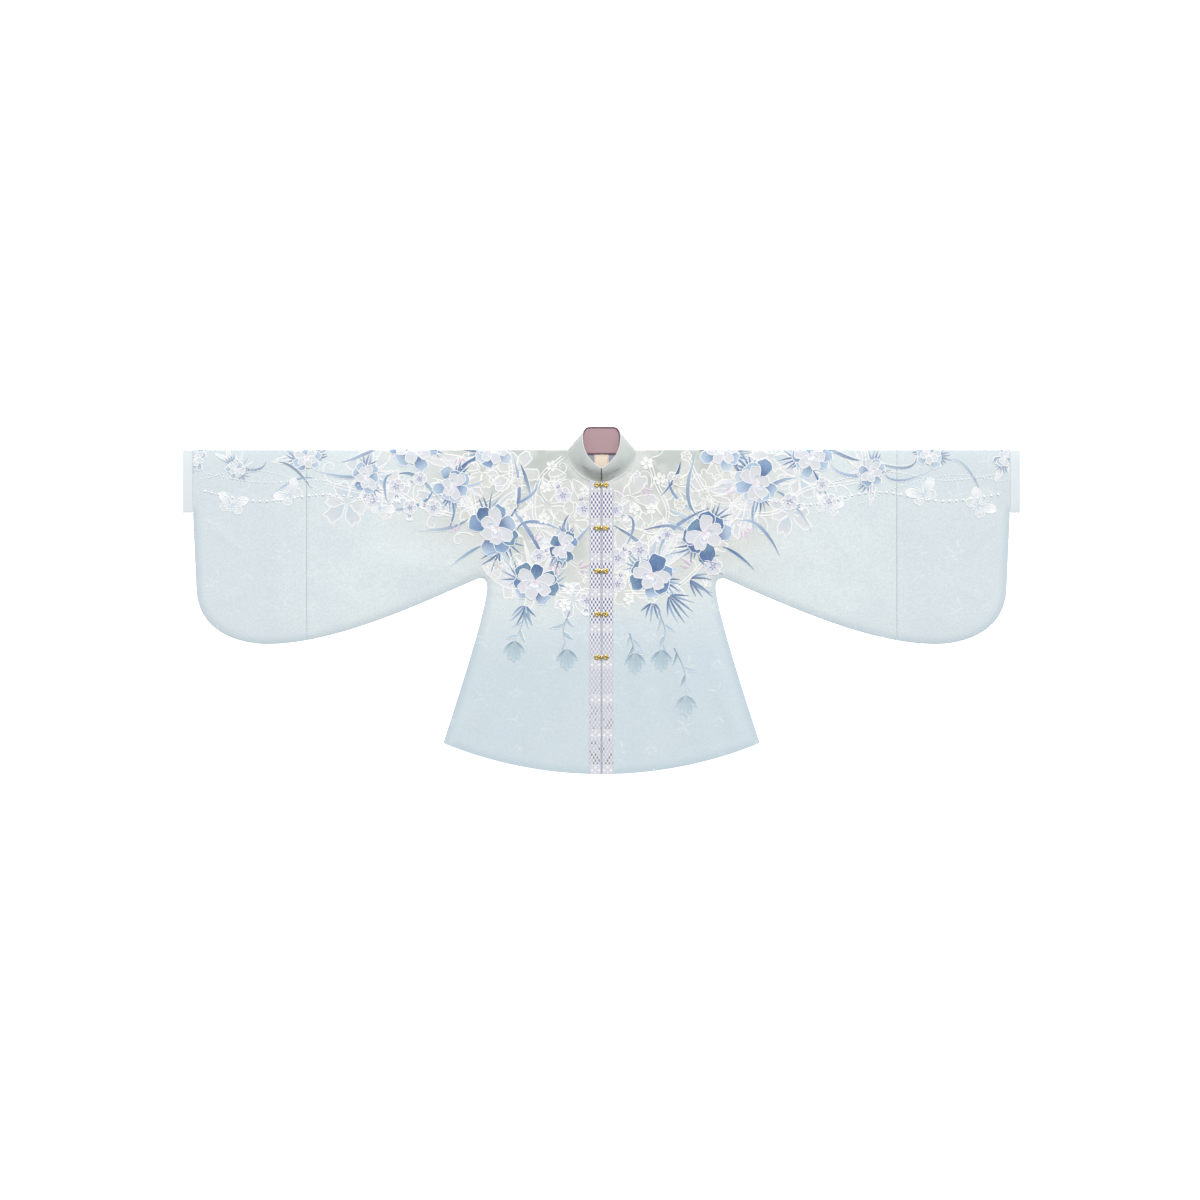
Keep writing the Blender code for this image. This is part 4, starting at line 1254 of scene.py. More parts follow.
def lozenge_net(paint, u, v, faded):
    """Lozenges in violet and white by turns: their colour, and 1 inside each."""
    column, row = (u - BAND_MIDDLE) / LOZENGE_ACROSS, v / LOZENGE_DOWN
    column_at, row_at = column.math("ROUND"), row.math("ROUND")
    is_white = (column_at + row_at) % 2.0
    widen = is_white * 0.11 + 0.41
    oval = paint.length((column - column_at) / widen, (row - row_at) / (widen + 0.02))
    inside = paint.ramp(oval, 1.12, 0.86)
    x = paint.place()[1]
    one_side = x.math("SIGN") * 20.0
    speckle = paint.node("ShaderNodeTexWhiteNoise", {}, [paint.point(column_at + one_side, row_at)])
    violet = paint.mix(faded, from_screen(112, 114, 170), from_screen(205, 205, 228))
    sparse = paint.ramp(v, 455.0, 690.0) * speckle.math("GREATER_THAN", 0.62)
    violet = paint.mix(sparse * 0.85, violet, from_screen(118, 132, 128))
    white = paint.mix(faded, from_screen(255, 255, 255), from_screen(232, 232, 232))
    ground = paint.mix(faded, from_screen(206, 207, 218), from_screen(206, 210, 218))
    return paint.mix(inside, ground, paint.mix(is_white, violet, white)), inside


def flower_row(paint, u, place):
    """A round five-petal flower among buds: the row's colour, and 1 inside each figure."""
    middle = u - BAND_MIDDLE
    away = paint.length(middle, place + 3.0)
    angle = middle.math("ARCTAN2", place + 3.0)
    petals = (angle * 5.0).math("COSINE") * 0.14 + 0.94
    flower = paint.ramp(away / petals, 5.4, 4.6)
    ring = paint.ramp(abs(away / petals - 4.3), 0.9, 0.4)
    side_x = abs(middle) - 7.4
    blob = paint.ramp(paint.length(side_x, place - 3.6), 3.1, 2.3)
    bud = paint.ramp(paint.length(side_x + 1.6, (place + 7.6) * 1.2), 1.9, 1.3)
    low_bud = paint.ramp(paint.length(middle, (place - 7.4) * 1.2), 2.2, 1.5)
    figure = blob.larger(flower * 0.6).larger(bud.larger(low_bud) * 0.8)
    colour = paint.mix(figure, from_screen(220, 220, 227), from_screen(254, 254, 254))
    return paint.mix(ring * 0.45, colour, from_screen(186, 186, 208)), figure


def make_brocade():
    paint = Paint("lattice_brocade", roughness=0.45, Sheen_Weight=0.15)
    across, along = paint.uv("band")
    u, v = across / MM, along / MM
    faded = paint.ramp(v, 370.0, 470.0)
    lozenges, inside = lozenge_net(paint, u, v, faded)
    place = (v - FIRST_FLOWER + FLOWER_PERIOD / 2) % FLOWER_PERIOD - FLOWER_PERIOD / 2
    flowers, figure = flower_row(paint, u, place)
    in_row = paint.ramp(abs(place), FLOWER_HALF + 0.5, FLOWER_HALF - 0.5)
    in_row = in_row.larger(paint.ramp(v, FIRST_FLOWER - 8.0, FIRST_FLOWER - 9.0))
    colour = paint.mix(in_row, lozenges, flowers)
    # Painted shade: each band is darkened along its edge at the slit, grey in the upper part and blue-violet
    # lower down.
    shaded = paint.mix(faded, from_screen(146, 152, 160), from_screen(140, 144, 182))
    colour = paint.mix(paint.ramp(u, 2.3, 0.5) * (0.75 - faded * 0.4), colour, shaded)
    fine = paint.noise(paint.point(u * 3.1, v * 0.9), 1.0, 2.0)
    paint.color(paint.mix((fine - 0.4) * 0.35, colour, from_screen(190, 192, 205)))
    raised = inside * (1 - in_row) + figure * in_row
    ribs = paint.thread(paint.point(u, v), 0.9, "Y")
    paint.bump(raised * 0.7 + ribs * 0.15 + fine * 0.15, 0.35 * MM, 0.7)
    paint.rough(0.50 - raised * 0.14 + fine * 0.06)
    return paint


brocade = make_brocade()
silver_cord = make_plain_cloth("silver_cord", (236, 238, 240), (214, 220, 226), 0.45, 700.0)
padding = BAND_PADDING * (1 - np.abs(np.linspace(-1, 1, BAND_COLUMNS + 1)) ** 4)
for word, side in SIDES.items():
    flat, measured = band_grid(side)
    low = with_height(flat, band_heights(flat))
    high = with_height(flat, low[..., 2] + BAND_CLOTH + padding)
    mesh = wall_mesh("band", low, high)
    add_uv(mesh, "band", np.concatenate([measured.reshape(-1, 2)] * 2))
    band = put(f"placket_{word}_band", mesh, brocade)
    settle(band, "brocade", f"placket_{word}")
    SHEETS[band.name] = (band, (PLACKET_WIDTH, LENGTH - NECK_RADIUS), [f"body_{word}_satin"])
    outer = flat[:, -1:] + (0.7 * MM * side, 0)
    cord = with_height(outer, band_heights(outer) + 0.25 * MM)[1:-1:2, 0]
    piping(f"placket_{word}_piping", cord, CORD_RADIUS, silver_cord, "brocade")
print("brocade bands with", BAND_ROWS, "rows")

# %% [markdown]
# The clasps are small gilt castings: two five-petal rosettes, one with a knob and one with a
# ring that the knob goes through. A rosette starts as a flat disc, whose rim is pulled in at
# five places, and is then raised and narrowed step by step, as a chaser would. The loose shapes
# are fused by a voxel remesh, which leaves the soft edges that a casting has. Each is modelled
# only once.

# %% Cast clasps
ROSETTE_AT, ROSETTE_RADIUS = 10.3 * MM, 5.4 * MM
PETALS = 5
RISES = ((1.0, 1.03), (0.7, 0.86), (0.3, 0.72), (-0.5, 0.62), (-0.3, 0.7))  # mm, and what it narrows to
KNOB_RADIUS = 2.9 * MM


def shape(add, **settings):
    """One of the usual shapes, added by its own operator."""
    choose()
    add(**settings)
    return bpy.context.object


def rosette(at_x):
    """A disc pulled into petals, raised in steps, with a bead in the middle."""
    centre = (at_x, 0, 0)
    flower = shape(
        bpy.ops.mesh.primitive_circle_add,
        vertices=PETALS * 12,
        radius=ROSETTE_RADIUS,
        fill_type="NGON",
        location=centre,
    )
    for spot in flower.data.vertices:
        angle = math.atan2(spot.co.y, spot.co.x)
        pull = 0.80 + 0.30 * abs(math.cos(PETALS * angle / 2)) ** 0.7
        spot.co.x *= pull
        spot.co.y *= pull
    bpy.ops.object.mode_set(mode="EDIT")
    bpy.ops.mesh.select_all(action="SELECT")
    for rise, share in RISES:
        bpy.ops.mesh.extrude_region_move(TRANSFORM_OT_translate={"value": (0, 0, rise * MM)})
        bpy.ops.transform.resize(value=(share, share, 1), center_override=centre)
    bpy.ops.object.mode_set(mode="OBJECT")
    bead = {"radius": 1.35 * MM, "location": (at_x, 0, 1.6 * MM)}
    return [flower, shape(bpy.ops.mesh.primitive_uv_sphere_add, segments=20, ring_count=12, **bead)]


def beads(at_x):
    """A ring of tiny beads on the petals, as cast filigree has."""
    made = []
    for i in range(PETALS):
        angle = 2 * math.pi * i / PETALS
        spot = (at_x + 3.5 * MM * math.cos(angle), 3.5 * MM * math.sin(angle), 1.75 * MM)
        bead = {"radius": 0.85 * MM, "location": spot}
        made.append(shape(bpy.ops.mesh.primitive_ico_sphere_add, subdivisions=2, **bead))
    return made


def stem(from_x, to_x, height, radius):
    return shape(
        bpy.ops.mesh.primitive_cylinder_add,
        vertices=16,
        radius=radius,
        depth=abs(to_x - from_x),
        location=((from_x + to_x) / 2, 0, height),
        rotation=(0, math.pi / 2, 0),
    )


def fuse(name, shapes):
    """One casting from shapes that overlap."""
    choose(*shapes)
    bpy.ops.object.join()
    casting = bpy.context.object
    casting.name = name
    bpy.ops.object.transform_apply(location=True, rotation=True, scale=True)
    modify(
        casting,
        REMESH={"mode": "VOXEL", "voxel_size": 0.16 * MM, "use_smooth_shade": True},
        SMOOTH={"factor": 0.5, "iterations": 4},
        DECIMATE={"ratio": 0.45},
    )
    casting.data.shade_smooth()
    return casting


def knob_casting():
    shapes = rosette(-ROSETTE_AT) + beads(-ROSETTE_AT)
    shapes.append(stem(-ROSETTE_AT + 3 * MM, 0, 0.75 * MM, 0.7 * MM))
    ball = {"radius": KNOB_RADIUS, "location": (0, 0, KNOB_RADIUS)}
    shapes.append(shape(bpy.ops.mesh.primitive_uv_sphere_add, segments=28, ring_count=18, **ball))
    return fuse("knob_casting", shapes)


def loop_casting():
    shapes = rosette(ROSETTE_AT) + beads(ROSETTE_AT)
    shapes.append(stem(3.6 * MM, ROSETTE_AT - 2 * MM, 1.9 * MM, 0.65 * MM))
    ring = {"major_radius": 3.7 * MM, "minor_radius": 0.8 * MM, "location": (0, 0, 1.95 * MM)}
    ring.update(major_segments=40, minor_segments=14)
    shapes.append(shape(bpy.ops.mesh.primitive_torus_add, **ring))
    return fuse("loop_casting", shapes)


castings = {"knob": knob_casting(), "loop": loop_casting()}
print("faces of each casting:", {half: len(cast.data.polygons) for half, cast in castings.items()})

# %% [markdown]
# The gilt is painted dark in the hollows of the casting, as painted shade, and bright where it stands proud.
# Pointiness tells the two apart, since it measures how the mesh bends at each point. It only works on a mesh
# as fine as this one. Each clasp then gets its own copies, placed by the boxes of its solids.

# %% Gilt, and the clasps in their places
def make_gilt():
    """Polished gilt with painted shade in its hollows, and a little scratched."""
    paint = Paint("gilt", roughness=0.24, metallic=1.0)
    at = paint.place()[0]
    hollow = paint.node("ShaderNodeNewGeometry", output="Pointiness")
    proud = paint.ramp(hollow, 0.45, 0.545)
    bright = paint.mix(paint.noise(at, 600.0), (0.98, 0.88, 0.42), (0.80, 0.60, 0.15))
    # Painted shade: near-black brown in the hollows of the casting.
    paint.color(paint.mix(proud, (0.26, 0.13, 0.02), bright))
    paint.rough(0.42 - proud * 0.12)
    paint.bump(paint.noise(at, 2600.0, 3.0), 0.05 * MM, 0.5)
    return paint


gilt = make_gilt()
for number in range(1, 6):
    for half, casting in castings.items():
        node = f"clasp_{number}_{half}"
        low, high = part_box(node)
        foot_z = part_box(f"clasp_{number}_knob")[0].z
        mesh = casting.data.copy()
        mesh.transform(Matrix.Translation((0, (low.y + high.y) / 2, foot_z)))
        piece = put(f"{node}_casting", mesh, gilt)
        settle(piece, "gilt", node)
for casting in castings.values():
    bpy.data.objects.remove(casting)
print("clasps made")

# %% [markdown]
# The yoke and the tops of the sleeves carry flowers in blue, lilac and cream. The flowers here
# are a plain traditional design, with peonies, plum blossom, willow leaves and cloud scrolls.
# Each petal or leaf is one patch of satin stitch, a little domed by its padding, with a cream
# cord laid round its edge. The patches are worked flat, so that what crosses the shoulder fold
# or the front band can be cut off straight, and are then laid on the cloth.

# %% Dyes, and where there is cloth to stitch on
DYE_NAMES = {
    "navy": (70, 105, 158),
    "denim": (92, 130, 178),
    "dusk": (108, 146, 176),
    "blue": (138, 168, 204),
    "sky": (186, 207, 229),
    "ice": (209, 221, 231),
    "lilac": (225, 226, 235),
    "haze": (223, 225, 229),
    "moss": (222, 224, 218),
    "mist": (232, 234, 232),
    "white": (255, 255, 255),
    "cream": (255, 255, 253),
    "pink": (228, 202, 222),
    "rose": (226, 186, 218),
    "violet": (148, 154, 194),
    "fog": (172, 197, 209),
    "pearl": (208, 221, 228),
    "cloth": (220, 229, 232),
}
DYES = {name: np.array(from_screen(*colour)) for name, colour in DYE_NAMES.items()}
LIFT, LEVEL_STEP = 0.16, 0.06  # above the cloth's surface, in mm
ROOTS, DEEP_ROOTS = -0.35, -0.6  # the hidden underside of a patch, at its edge and in its middle
FADE_FROM, FADE_TO, MOST_FADED = 0.34, 0.86, 0.4  # metres from the middle of the shoulder line
KEEP_OFF = 4 * MM


def on_cloth(flat):
    """Whether places in mm lie on the front, clear of the neck and of the lower edges."""
    x, y = np.abs(flat[:, 0]) * MM, flat[:, 1] * MM
    above_sleeve = y > np.interp(x, SLEEVE.rolled[:, 0], SLEEVE.rolled[:, 1]) + KEEP_OFF
    side_x = np.interp(-y, -SIDE.rolled[::-1, 1], SIDE.rolled[::-1, 0])
    in_skirt = (y < SIDE.rolled[-1, 1]) & (x < side_x - KEEP_OFF)
    in_yoke = (y >= SIDE.rolled[-1, 1]) & (x < SIDE.rolled[-1, 0])
    off_neck = np.hypot(x, np.minimum(y, 0)) > NECK_RADIUS + KEEP_OFF
    return bool(np.all((above_sleeve | in_skirt | in_yoke) & off_neck))


print("dyes", sorted(DYES))

# %% [markdown]
# An embroiderer works on flat cloth in a frame, before the pieces are sewn, so the work below is
# flat too. It is laid on the jacket by one rule: a place keeps its x, its y runs over the shoulder
# fold, and its own height is added to that of the front. A Shrinkwrap modifier could do that, but
# the height of the front is known, so the threads keep their own thickness exactly.

# %% Laying the work on the cloth
BAND_CUT = (PLACKET_WIDTH + 2.2 * MM) / MM
FOLD_TURN = EDGE_RADIUS * math.pi / 2 / MM  # the cloth that lies on the fold's upper quarter
CUTS = [
    # a place on the plane, and the way out of what stays, in mm
    ((0, -EDGE_RADIUS / MM + FOLD_TURN, 0), (0, 1, 0)),
    ((BAND_CUT, 0, 0), (-1, 0, 0)),
    ((SLEEVE_END / MM - 1, 0, 0), (1, 0, 0)),
]


def lay_on_cloth(points):
    """From flat places with a height above the cloth, to places in the frame."""
    over = np.maximum(points[:, 1] + EDGE_RADIUS, 0)
    turn = np.minimum(over / EDGE_RADIUS, math.pi / 2)
    flat = points[:, :2].copy()
    flat[:, 1] = np.minimum(flat[:, 1], -EDGE_RADIUS)
    height = front_surface(flat)
    y = flat[:, 1] + (EDGE_RADIUS + points[:, 2]) * np.sin(turn)
    z = height / 2 * (1 + np.cos(turn)) + points[:, 2] * np.cos(turn)
    return np.column_stack([points[:, 0], y + SHOULDER_Y, z])


def cut_off(mesh):
    """Cuts off what crosses the fold, the band or the sleeve's end, and closes each cut."""
    work = bmesh.new()
    work.from_mesh(mesh)
    for place, outward in CUTS:
        everything = work.verts[:] + work.edges[:] + work.faces[:]
        cut = bmesh.ops.bisect_plane(
            work, geom=everything, dist=0.001, plane_co=place, plane_no=outward, clear_outer=True
        )
        rims = [part for part in cut["geom_cut"] if isinstance(part, bmesh.types.BMEdge)]
        bmesh.ops.holes_fill(work, edges=rims, sides=0)
    bmesh.ops.recalc_face_normals(work, faces=work.faces)
    work.to_mesh(mesh)
    work.free()


print("the work is cut off", round(BAND_CUT, 1), "mm from the middle of the front")

# %% [markdown]
# Two kinds of patch are enough. A petal is a closed outline with rings inside it: the outer rings
# are the cord, the inner ones the filling, whose colour changes from the foot to the tip. A
# ribbon follows a line, and makes leaves, stems and loose cords. Both are closed shapes with
# their underside hidden in the cloth, so they have no loose edges when the model is exported.

# %% Patches of satin stitch
FEW_POINTS = 16  # a petal with no more points than this has fewer rings too


def petal_outline(draw, long, wide, ruffle, notch, count):
    """A closed line from the foot, at zero, to the tip, and the room for its cord at each point."""
    round_it = np.linspace(0, 2 * math.pi, count, endpoint=False)
    up = 0.5 - 0.5 * np.cos(round_it)
    waves = [np.sin(k * round_it + draw.uniform(0, 6.3)) for k in (5, 8)]
    swell = 1 + ruffle * (waves[0] + 0.7 * waves[1]) * up
    swell -= notch * np.exp(-(((round_it - math.pi) / 0.28) ** 2))
    along = long * (0.45 + (up - 0.45) * swell)
    across = -0.61 * wide * np.sin(round_it) * up**0.35 * swell
    return np.stack([along, across], axis=1), 0.42 * (np.abs(across) + 0.3 * long * up**2)


class Needlework:
    """The stitched patches of one side of the front, worked flat, in millimetres."""

    def __init__(self):
        self.points, self.faces, self.dyes, self.threads = [], [], [], []
        self.count = 0

    def sew(self, rings, dyes, threads, middles=None):
        """One closed patch from rings of points; middles close the first and the last ring."""
        if not on_cloth(rings.reshape(-1, 3)):
            return
        index = np.arange(rings.shape[0] * rings.shape[1]).reshape(rings.shape[:2])
        after = np.roll(index, -1, axis=1)
        faces = np.stack((index[:-1], after[:-1], after[1:], index[1:]), axis=-1)
        faces = faces.reshape(-1, 4).tolist()
        points, dyes, threads = rings.reshape(-1, 3), dyes.reshape(-1, 3), threads.reshape(-1, 2)
        if middles is None:
            faces += [index[0].tolist(), index[-1].tolist()]
        else:
            for ring, middle in ((0, len(points)), (-1, len(points) + 1)):
                pairs = zip(index[ring].tolist(), after[ring].tolist())
                faces += [[a, b, middle] for a, b in pairs]
            ends = zip((points, dyes, threads), middles)
            points, dyes, threads = (np.concatenate(pair) for pair in ends)
        reach = np.hypot(points[:, 0], 1.2 * points[:, 1]) * MM
        is_dark = dyes.mean(axis=1) < 0.75
        fade = (MOST_FADED * smooth_step(reach, FADE_FROM, FADE_TO) * is_dark)[:, None]
        self.faces += [[k + self.count for k in face] for face in faces]
        self.points.append(points)
        self.dyes.append(dyes + (DYES["cloth"] - dyes) * fade)
        self.threads.append(threads)
        self.count += len(points)

    def petal(
        self, draw, at, turn, long, wide, inner, outer, level, ruffle, notch, cord=1.5, count=24, edge="cream"
    ):
        """From its foot at a place, pointing away at an angle, with a slightly wavy edge."""
        outline, room = petal_outline(draw, long, wide, ruffle, notch, count)
        run = np.roll(outline, -1, axis=0) - np.roll(outline, 1, axis=0)
        inward = np.stack([-run[:, 1], run[:, 0]], axis=1) / np.linalg.norm(run, axis=1)[:, None]
        inset = inward * np.minimum(cord, room)[:, None]
        filling = outline + 1.07 * inset
        heart = np.array([0.42 * long, 0])
        top = LIFT + level * LEVEL_STEP
        in_cord = [(outline, ROOTS), (outline, top - 0.08), (outline + inset, top + 0.03)]
        in_filling = [(filling, top)]
        if count > FEW_POINTS:
            in_cord.insert(2, (outline + 0.45 * inset, top + 0.05))
            for share in (0.66, 0.33):
                in_filling.append((heart + (filling - heart) * share, top + 0.05 - 0.03 * share))
        own = np.array([ring for ring, height in in_cord + in_filling])
        heights = np.array([np.full(count, height) for ring, height in in_cord + in_filling])
        own_middles = np.array([heart, heart])

        def dyed(places):
            share = smooth_step(places[..., :1] / long, 0.16, 0.9)
            return DYES[inner] + (DYES[outer] - DYES[inner]) * share

        def placed(places, z):
            c, s = math.cos(turn), math.sin(turn)
            x, y = places[..., 0], places[..., 1]
            return np.stack([at[0] + c * x - s * y, at[1] + s * x + c * y, z], axis=-1)

        dyes = dyed(own)
        dyes[: len(in_cord)] = DYES[edge]
        middles = placed(own_middles, np.array([DEEP_ROOTS, top + 0.06]))
        ends = (middles, dyed(own_middles), own_middles[:, ::-1])
        self.sew(placed(own, heights), dyes, own[..., ::-1], ends)

    def ribbon(self, line, wide, start, end, level, cords=0, cord=1.0, taper=0.8):
        """A leaf or a cord along a line, with a cream cord along none, one or both of its sides."""
        along = lengths_along(line)
        share = along / along[-1]
        normal = left_of(line)
        outline = 1 - 0.45 * share**2
        if taper:
            outline = np.sin(np.pi * np.clip(share, 0.02, 0.985) ** taper) ** 0.85
        half = wide / 2 * outline
        inset = np.minimum(cord, 0.45 * half)
        # Each column: how far to the left, its height above the rest, and whether it is in a cord.
        plain_left, plain_right = [(-half, -0.06, 0)], [(half, -0.06, 0)]
        left = [(-half, -0.06, 1), (inset - half, 0.03, 1), (1.1 * inset - half, 0, 0)]
        right = [(-offset, height, in_cord) for offset, height, in_cord in left[::-1]]
        crown = [(0 * half, 0.08 if cords else 0.16, 0)]
        upper = (left if cords else plain_left) + crown + (right if cords > 1 else plain_right)
        columns = [(half, None, 0), (-half, None, 0)] + upper
        top = LIFT + level * LEVEL_STEP
        blend = DYES[start] + (DYES[end] - DYES[start]) * share[:, None]
        cream = np.broadcast_to(DYES["cream"], blend.shape)
        rings, dyes, threads = [], [], []
        for offset, height, in_cord in columns:
            z = ROOTS - 0.15 if height is None else top + height
            rings.append(np.column_stack([line + offset[:, None] * normal, np.full(len(line), z)]))
            dyes.append(cream if in_cord else blend)
            threads.append(np.column_stack([offset, along]))
        self.sew(*(np.stack(rows, axis=1) for rows in (rings, dyes, threads)))

    def mesh(self, name, side):
        """All of the patches as one mesh, cut off at the edges and laid on the cloth."""
        mesh = bpy.data.meshes.new(name)
        mesh.from_pydata(np.concatenate(self.points).tolist(), [], self.faces)
        dyes = np.concatenate(self.dyes)
        colours = np.concatenate([dyes, np.ones((len(dyes), 1))], axis=1).astype(np.float32)
        mesh.attributes.new("dye", "FLOAT_COLOR", "POINT").data.foreach_set("color", colours.ravel())
        add_uv(mesh, "stitch", np.concatenate(self.threads))
        cut_off(mesh)
        flat = np.zeros(len(mesh.vertices) * 3, np.float32)
        mesh.vertices.foreach_get("co", flat)
        laid = lay_on_cloth(flat.reshape(-1, 3) * MM * (side, 1, 1))
        mesh.vertices.foreach_set("co", laid.astype(np.float32).ravel())
        mesh.update()
        mesh.shade_smooth()
        mesh.set_sharp_from_angle(angle=math.radians(50))
        if side < 0:
            mesh.flip_normals()
        return mesh


print("a small petal has", FEW_POINTS, "points or fewer")

# %% [markdown]
# Flowers are built from petals in rings, each lying on the one before. A peony is seen a little
# from the side: dark guard petals stand behind, and pale ones fold over its heart. Behind the
# coloured flowers lie large pale ones, hardly darker than the cloth, which are mostly outline.

# %% Motifs of petals
DARK = [("navy", "dusk"), ("navy", "denim"), ("denim", "blue"), ("dusk", "navy"), ("navy", "sky")]
LIGHTER = [("navy", "blue"), ("denim", "sky"), ("dusk", "sky")]
LIGHTER += [("blue", "sky"), ("blue", "ice"), ("navy", "sky")]


def arm(at, turn, far):
    return (at[0] + far * math.cos(turn), at[1] + far * math.sin(turn))


def peony(work, draw, at, radius, turn):
    """Dark guard petals behind, paler ones folded forward, and a small pink heart."""
    level = 12.0
    for swing in (2.35, -2.3, 1.5, -1.6, 0.8, -0.75, 0.05):
        heading = turn + math.pi + swing + draw.uniform(-0.16, 0.16)
        inner, outer = draw.choice(DARK if at[1] < -140 else LIGHTER)
        long, wide = radius * draw.uniform(0.86, 1.18), radius * draw.uniform(0.66, 0.98)
        foot = arm(at, heading, radius * 0.16)
        work.petal(draw, foot, heading, long, wide, inner, outer, level, 0.055, 0.08)
        level += 1
    for swing in (1.9, -1.9, 1.0, -1.0, 0.0):
        heading = turn + swing + draw.uniform(-0.15, 0.15)
        foot = arm(at, turn + math.pi, radius * 0.26)
        long = radius * draw.uniform(0.86, 1.02)
        work.petal(draw, foot, heading, long, radius * 0.62, "lilac", "haze", level, 0.05, 0.06, 1.3)
        level += 1
    for swing in (0.75, -0.75):
        foot, heading = arm(at, turn + math.pi, radius * 0.24), turn + swing
        long, wide = radius * 0.58, radius * 0.34
        work.petal(draw, foot, heading, long, wide, "sky", "lilac", level, 0.07, 0.1, 1.0, 16)
        level += 1
    for swing in (0.5, -0.5, 0.0):
        foot, heading = arm(at, turn + math.pi, radius * 0.32), turn + swing
        long, wide = radius * 0.42, radius * 0.17
        work.petal(draw, foot, heading, long, wide, "pink", "white", level, 0, 0, 0.9, 14)
        level += 1


def plum(work, draw, at, radius, turn, fill):
    """Five round petals, with a heart of short threads."""
    wide = radius * (0.66 if fill == "white" else 0.96)
    for k in range(5):
        heading = turn + k * 1.257
        foot, level = arm(at, heading, radius * 0.07), 11 + k * 0.7
        work.petal(draw, foot, heading, radius * 0.93, wide, fill, fill, level, 0.02, 0.05, 1.9, 14)
    heart = "violet" if fill == "lilac" else "moss"
    for k in range(5):
        heading = turn + 0.63 + k * 1.257
        line = straight(arm(at, heading, radius * 0.08), arm(at, heading, radius * 0.42), 4)
        work.ribbon(line, radius * 0.16, heart, heart, 15)


def pale_flower(work, draw, at, radius, turn):
    """Mostly outline: its filling is hardly another colour than the ground."""
    near = math.hypot(*at) < 330
    for k in range(6):
        heading = turn + k * 1.047 + draw.uniform(-0.2, 0.2)
        long, wide = radius * draw.uniform(0.8, 1.15), radius * draw.uniform(0.5, 0.8)
        pairs = (("moss", "moss"), ("moss", "haze")) if near else (("ice", "haze"), ("haze", "mist"))
        inner, outer = draw.choice(pairs)
        foot = arm(at, heading, radius * 0.12)
        work.petal(draw, foot, heading, long, wide, inner, outer, k * 0.8, 0.1, 0.14, 2.3)


def bud(work, draw, at, turn, size, fill):
    """Three closed petals with two small dark leaves at their foot."""
    for swing in (-0.35, 0.35, 0.0):
        inner, level = "lilac" if swing else fill, 12 + abs(1 - abs(swing))
        work.petal(draw, at, turn + swing, size, size * 0.5, inner, "white", level, 0, 0, 1.1, 14)
    for swing in (-0.5, 0.5):
        long, wide = size * 0.55, size * 0.24
        work.petal(draw, at, turn + swing, long, wide, "denim", "dusk", 13.5, 0, 0, 0.8, 12)


LILY = [
    # level, swing, length and width as shares of the size, inner dye
    (11, -0.75, 0.8, 0.3, "dusk"),
    (11, 0.75, 0.8, 0.3, "dusk"),
    (12, -0.26, 1, 0.4, "fog"),
    (12, 0.26, 1, 0.4, "fog"),
    (13, 0, 1.12, 0.42, "fog"),
]


def hanging_bud(work, draw, at, size):
    """A closed lily, in dyes that hardly differ from the skirt's."""
    for level, swing, tall, broad, inner in LILY:
        heading, long, wide = swing - math.pi / 2, size * tall, size * broad
        work.petal(draw, at, heading, long, wide, inner, "fog", level, 0.02, -0.2, 0.9, 16, "pearl")


def butterfly(work, draw, at, turn, size):
    """Two long fore wings and two small hind wings, with a streak of blue in each."""
    for hand in (-1, 1):
        tail = turn + hand * 1.95
        work.petal(draw, at, tail, size * 0.72, size * 0.56, "ice", "mist", 10, 0.05, 0.0, 1.5)
        for swing, share in ((0.2, 0.5), (-0.22, 0.46)):
            work.petal(draw, at, tail + swing, size * share, size * 0.13, "sky", "white", 11, 0, 0, 0.8, 14)
        fore = turn + hand * 0.95
        work.petal(draw, at, fore, size * 1.08, size * 0.56, "ice", "white", 11, 0.03, 0.0, 1.5)
        for swing, share in ((0.17, 0.8), (-0.17, 0.72), (0, 0.9)):
            work.petal(draw, at, fore + swing, size * share, size * 0.1, "sky", "white", 12, 0, 0, 0.8, 14)
        leave, arrive = arm(at, turn, size * 0.3), arm(at, turn + hand * 0.2, size * 0.6)
        feeler = bezier(at, leave, arrive, arm(at, turn + hand * 0.5, size * 0.8), 8)
        work.ribbon(feeler, 1.4, "cream", "cream", 12, taper=0)
    body = straight(arm(at, turn + math.pi, size * 0.4), arm(at, turn, size * 0.25), 6)
    work.ribbon(body, size * 0.15, "white", "fog", 13)


print("a peony has", 7 + 5 + 2 + 3, "petals")

# %% [markdown]
# The rest follows lines. Leaves and blades are ribbons that end in a point, a broad leaf has
# cords for its veins, and the loose work between them is cream cord: tendrils that wind up,
# cloud scrolls, double vines, and rows of small round knots.

# %% Motifs of lines
def curve_through(places, spacing=4.0):
    """A smooth line through a few places."""
    rows = np.array(places, float)
    knots = lengths_along(rows)
    return smooth_through(knots, rows, np.linspace(0, knots[-1], max(int(knots[-1] / spacing), 4)))


def bow(draw, at, turn, long, swing, count=14):
    """A bent line of a given length, of several tries the first that stays on the cloth."""
    for attempt in range(6):
        bend = draw.uniform(-swing, swing)
        leave, arrive = arm(at, turn - bend, long * 0.35), arm(at, turn + bend * 0.2, long * 0.7)
        line = bezier(at, leave, arrive, arm(at, turn + bend * 0.5, long), count)
        if on_cloth(line):
            break
        turn += draw.uniform(-0.5, 0.5)
    return line


def leaf(work, draw, at, turn, long, wide, start, end, level, swing=0.5):
    work.ribbon(bow(draw, at, turn, long, swing), wide, start, end, level, 1)


def fan(work, draw, at, turn, count, long, wide, palette, spread, level):
    """Leaves or needles that rise from one foot, the longest in the middle."""
    for k in range(count):
        share = 2 * k / (count - 1) - 1
        start, end = draw.choice(palette)
        reach = long * (1 - 0.4 * share**2) * draw.uniform(0.85, 1.1)
        line = bow(draw, arm(at, turn + math.pi / 2, share * wide), turn + share * spread, reach, 0.35)
        work.ribbon(line, wide, start, end, level + k % 3 * 0.6, 1 if wide > 5 else 0)


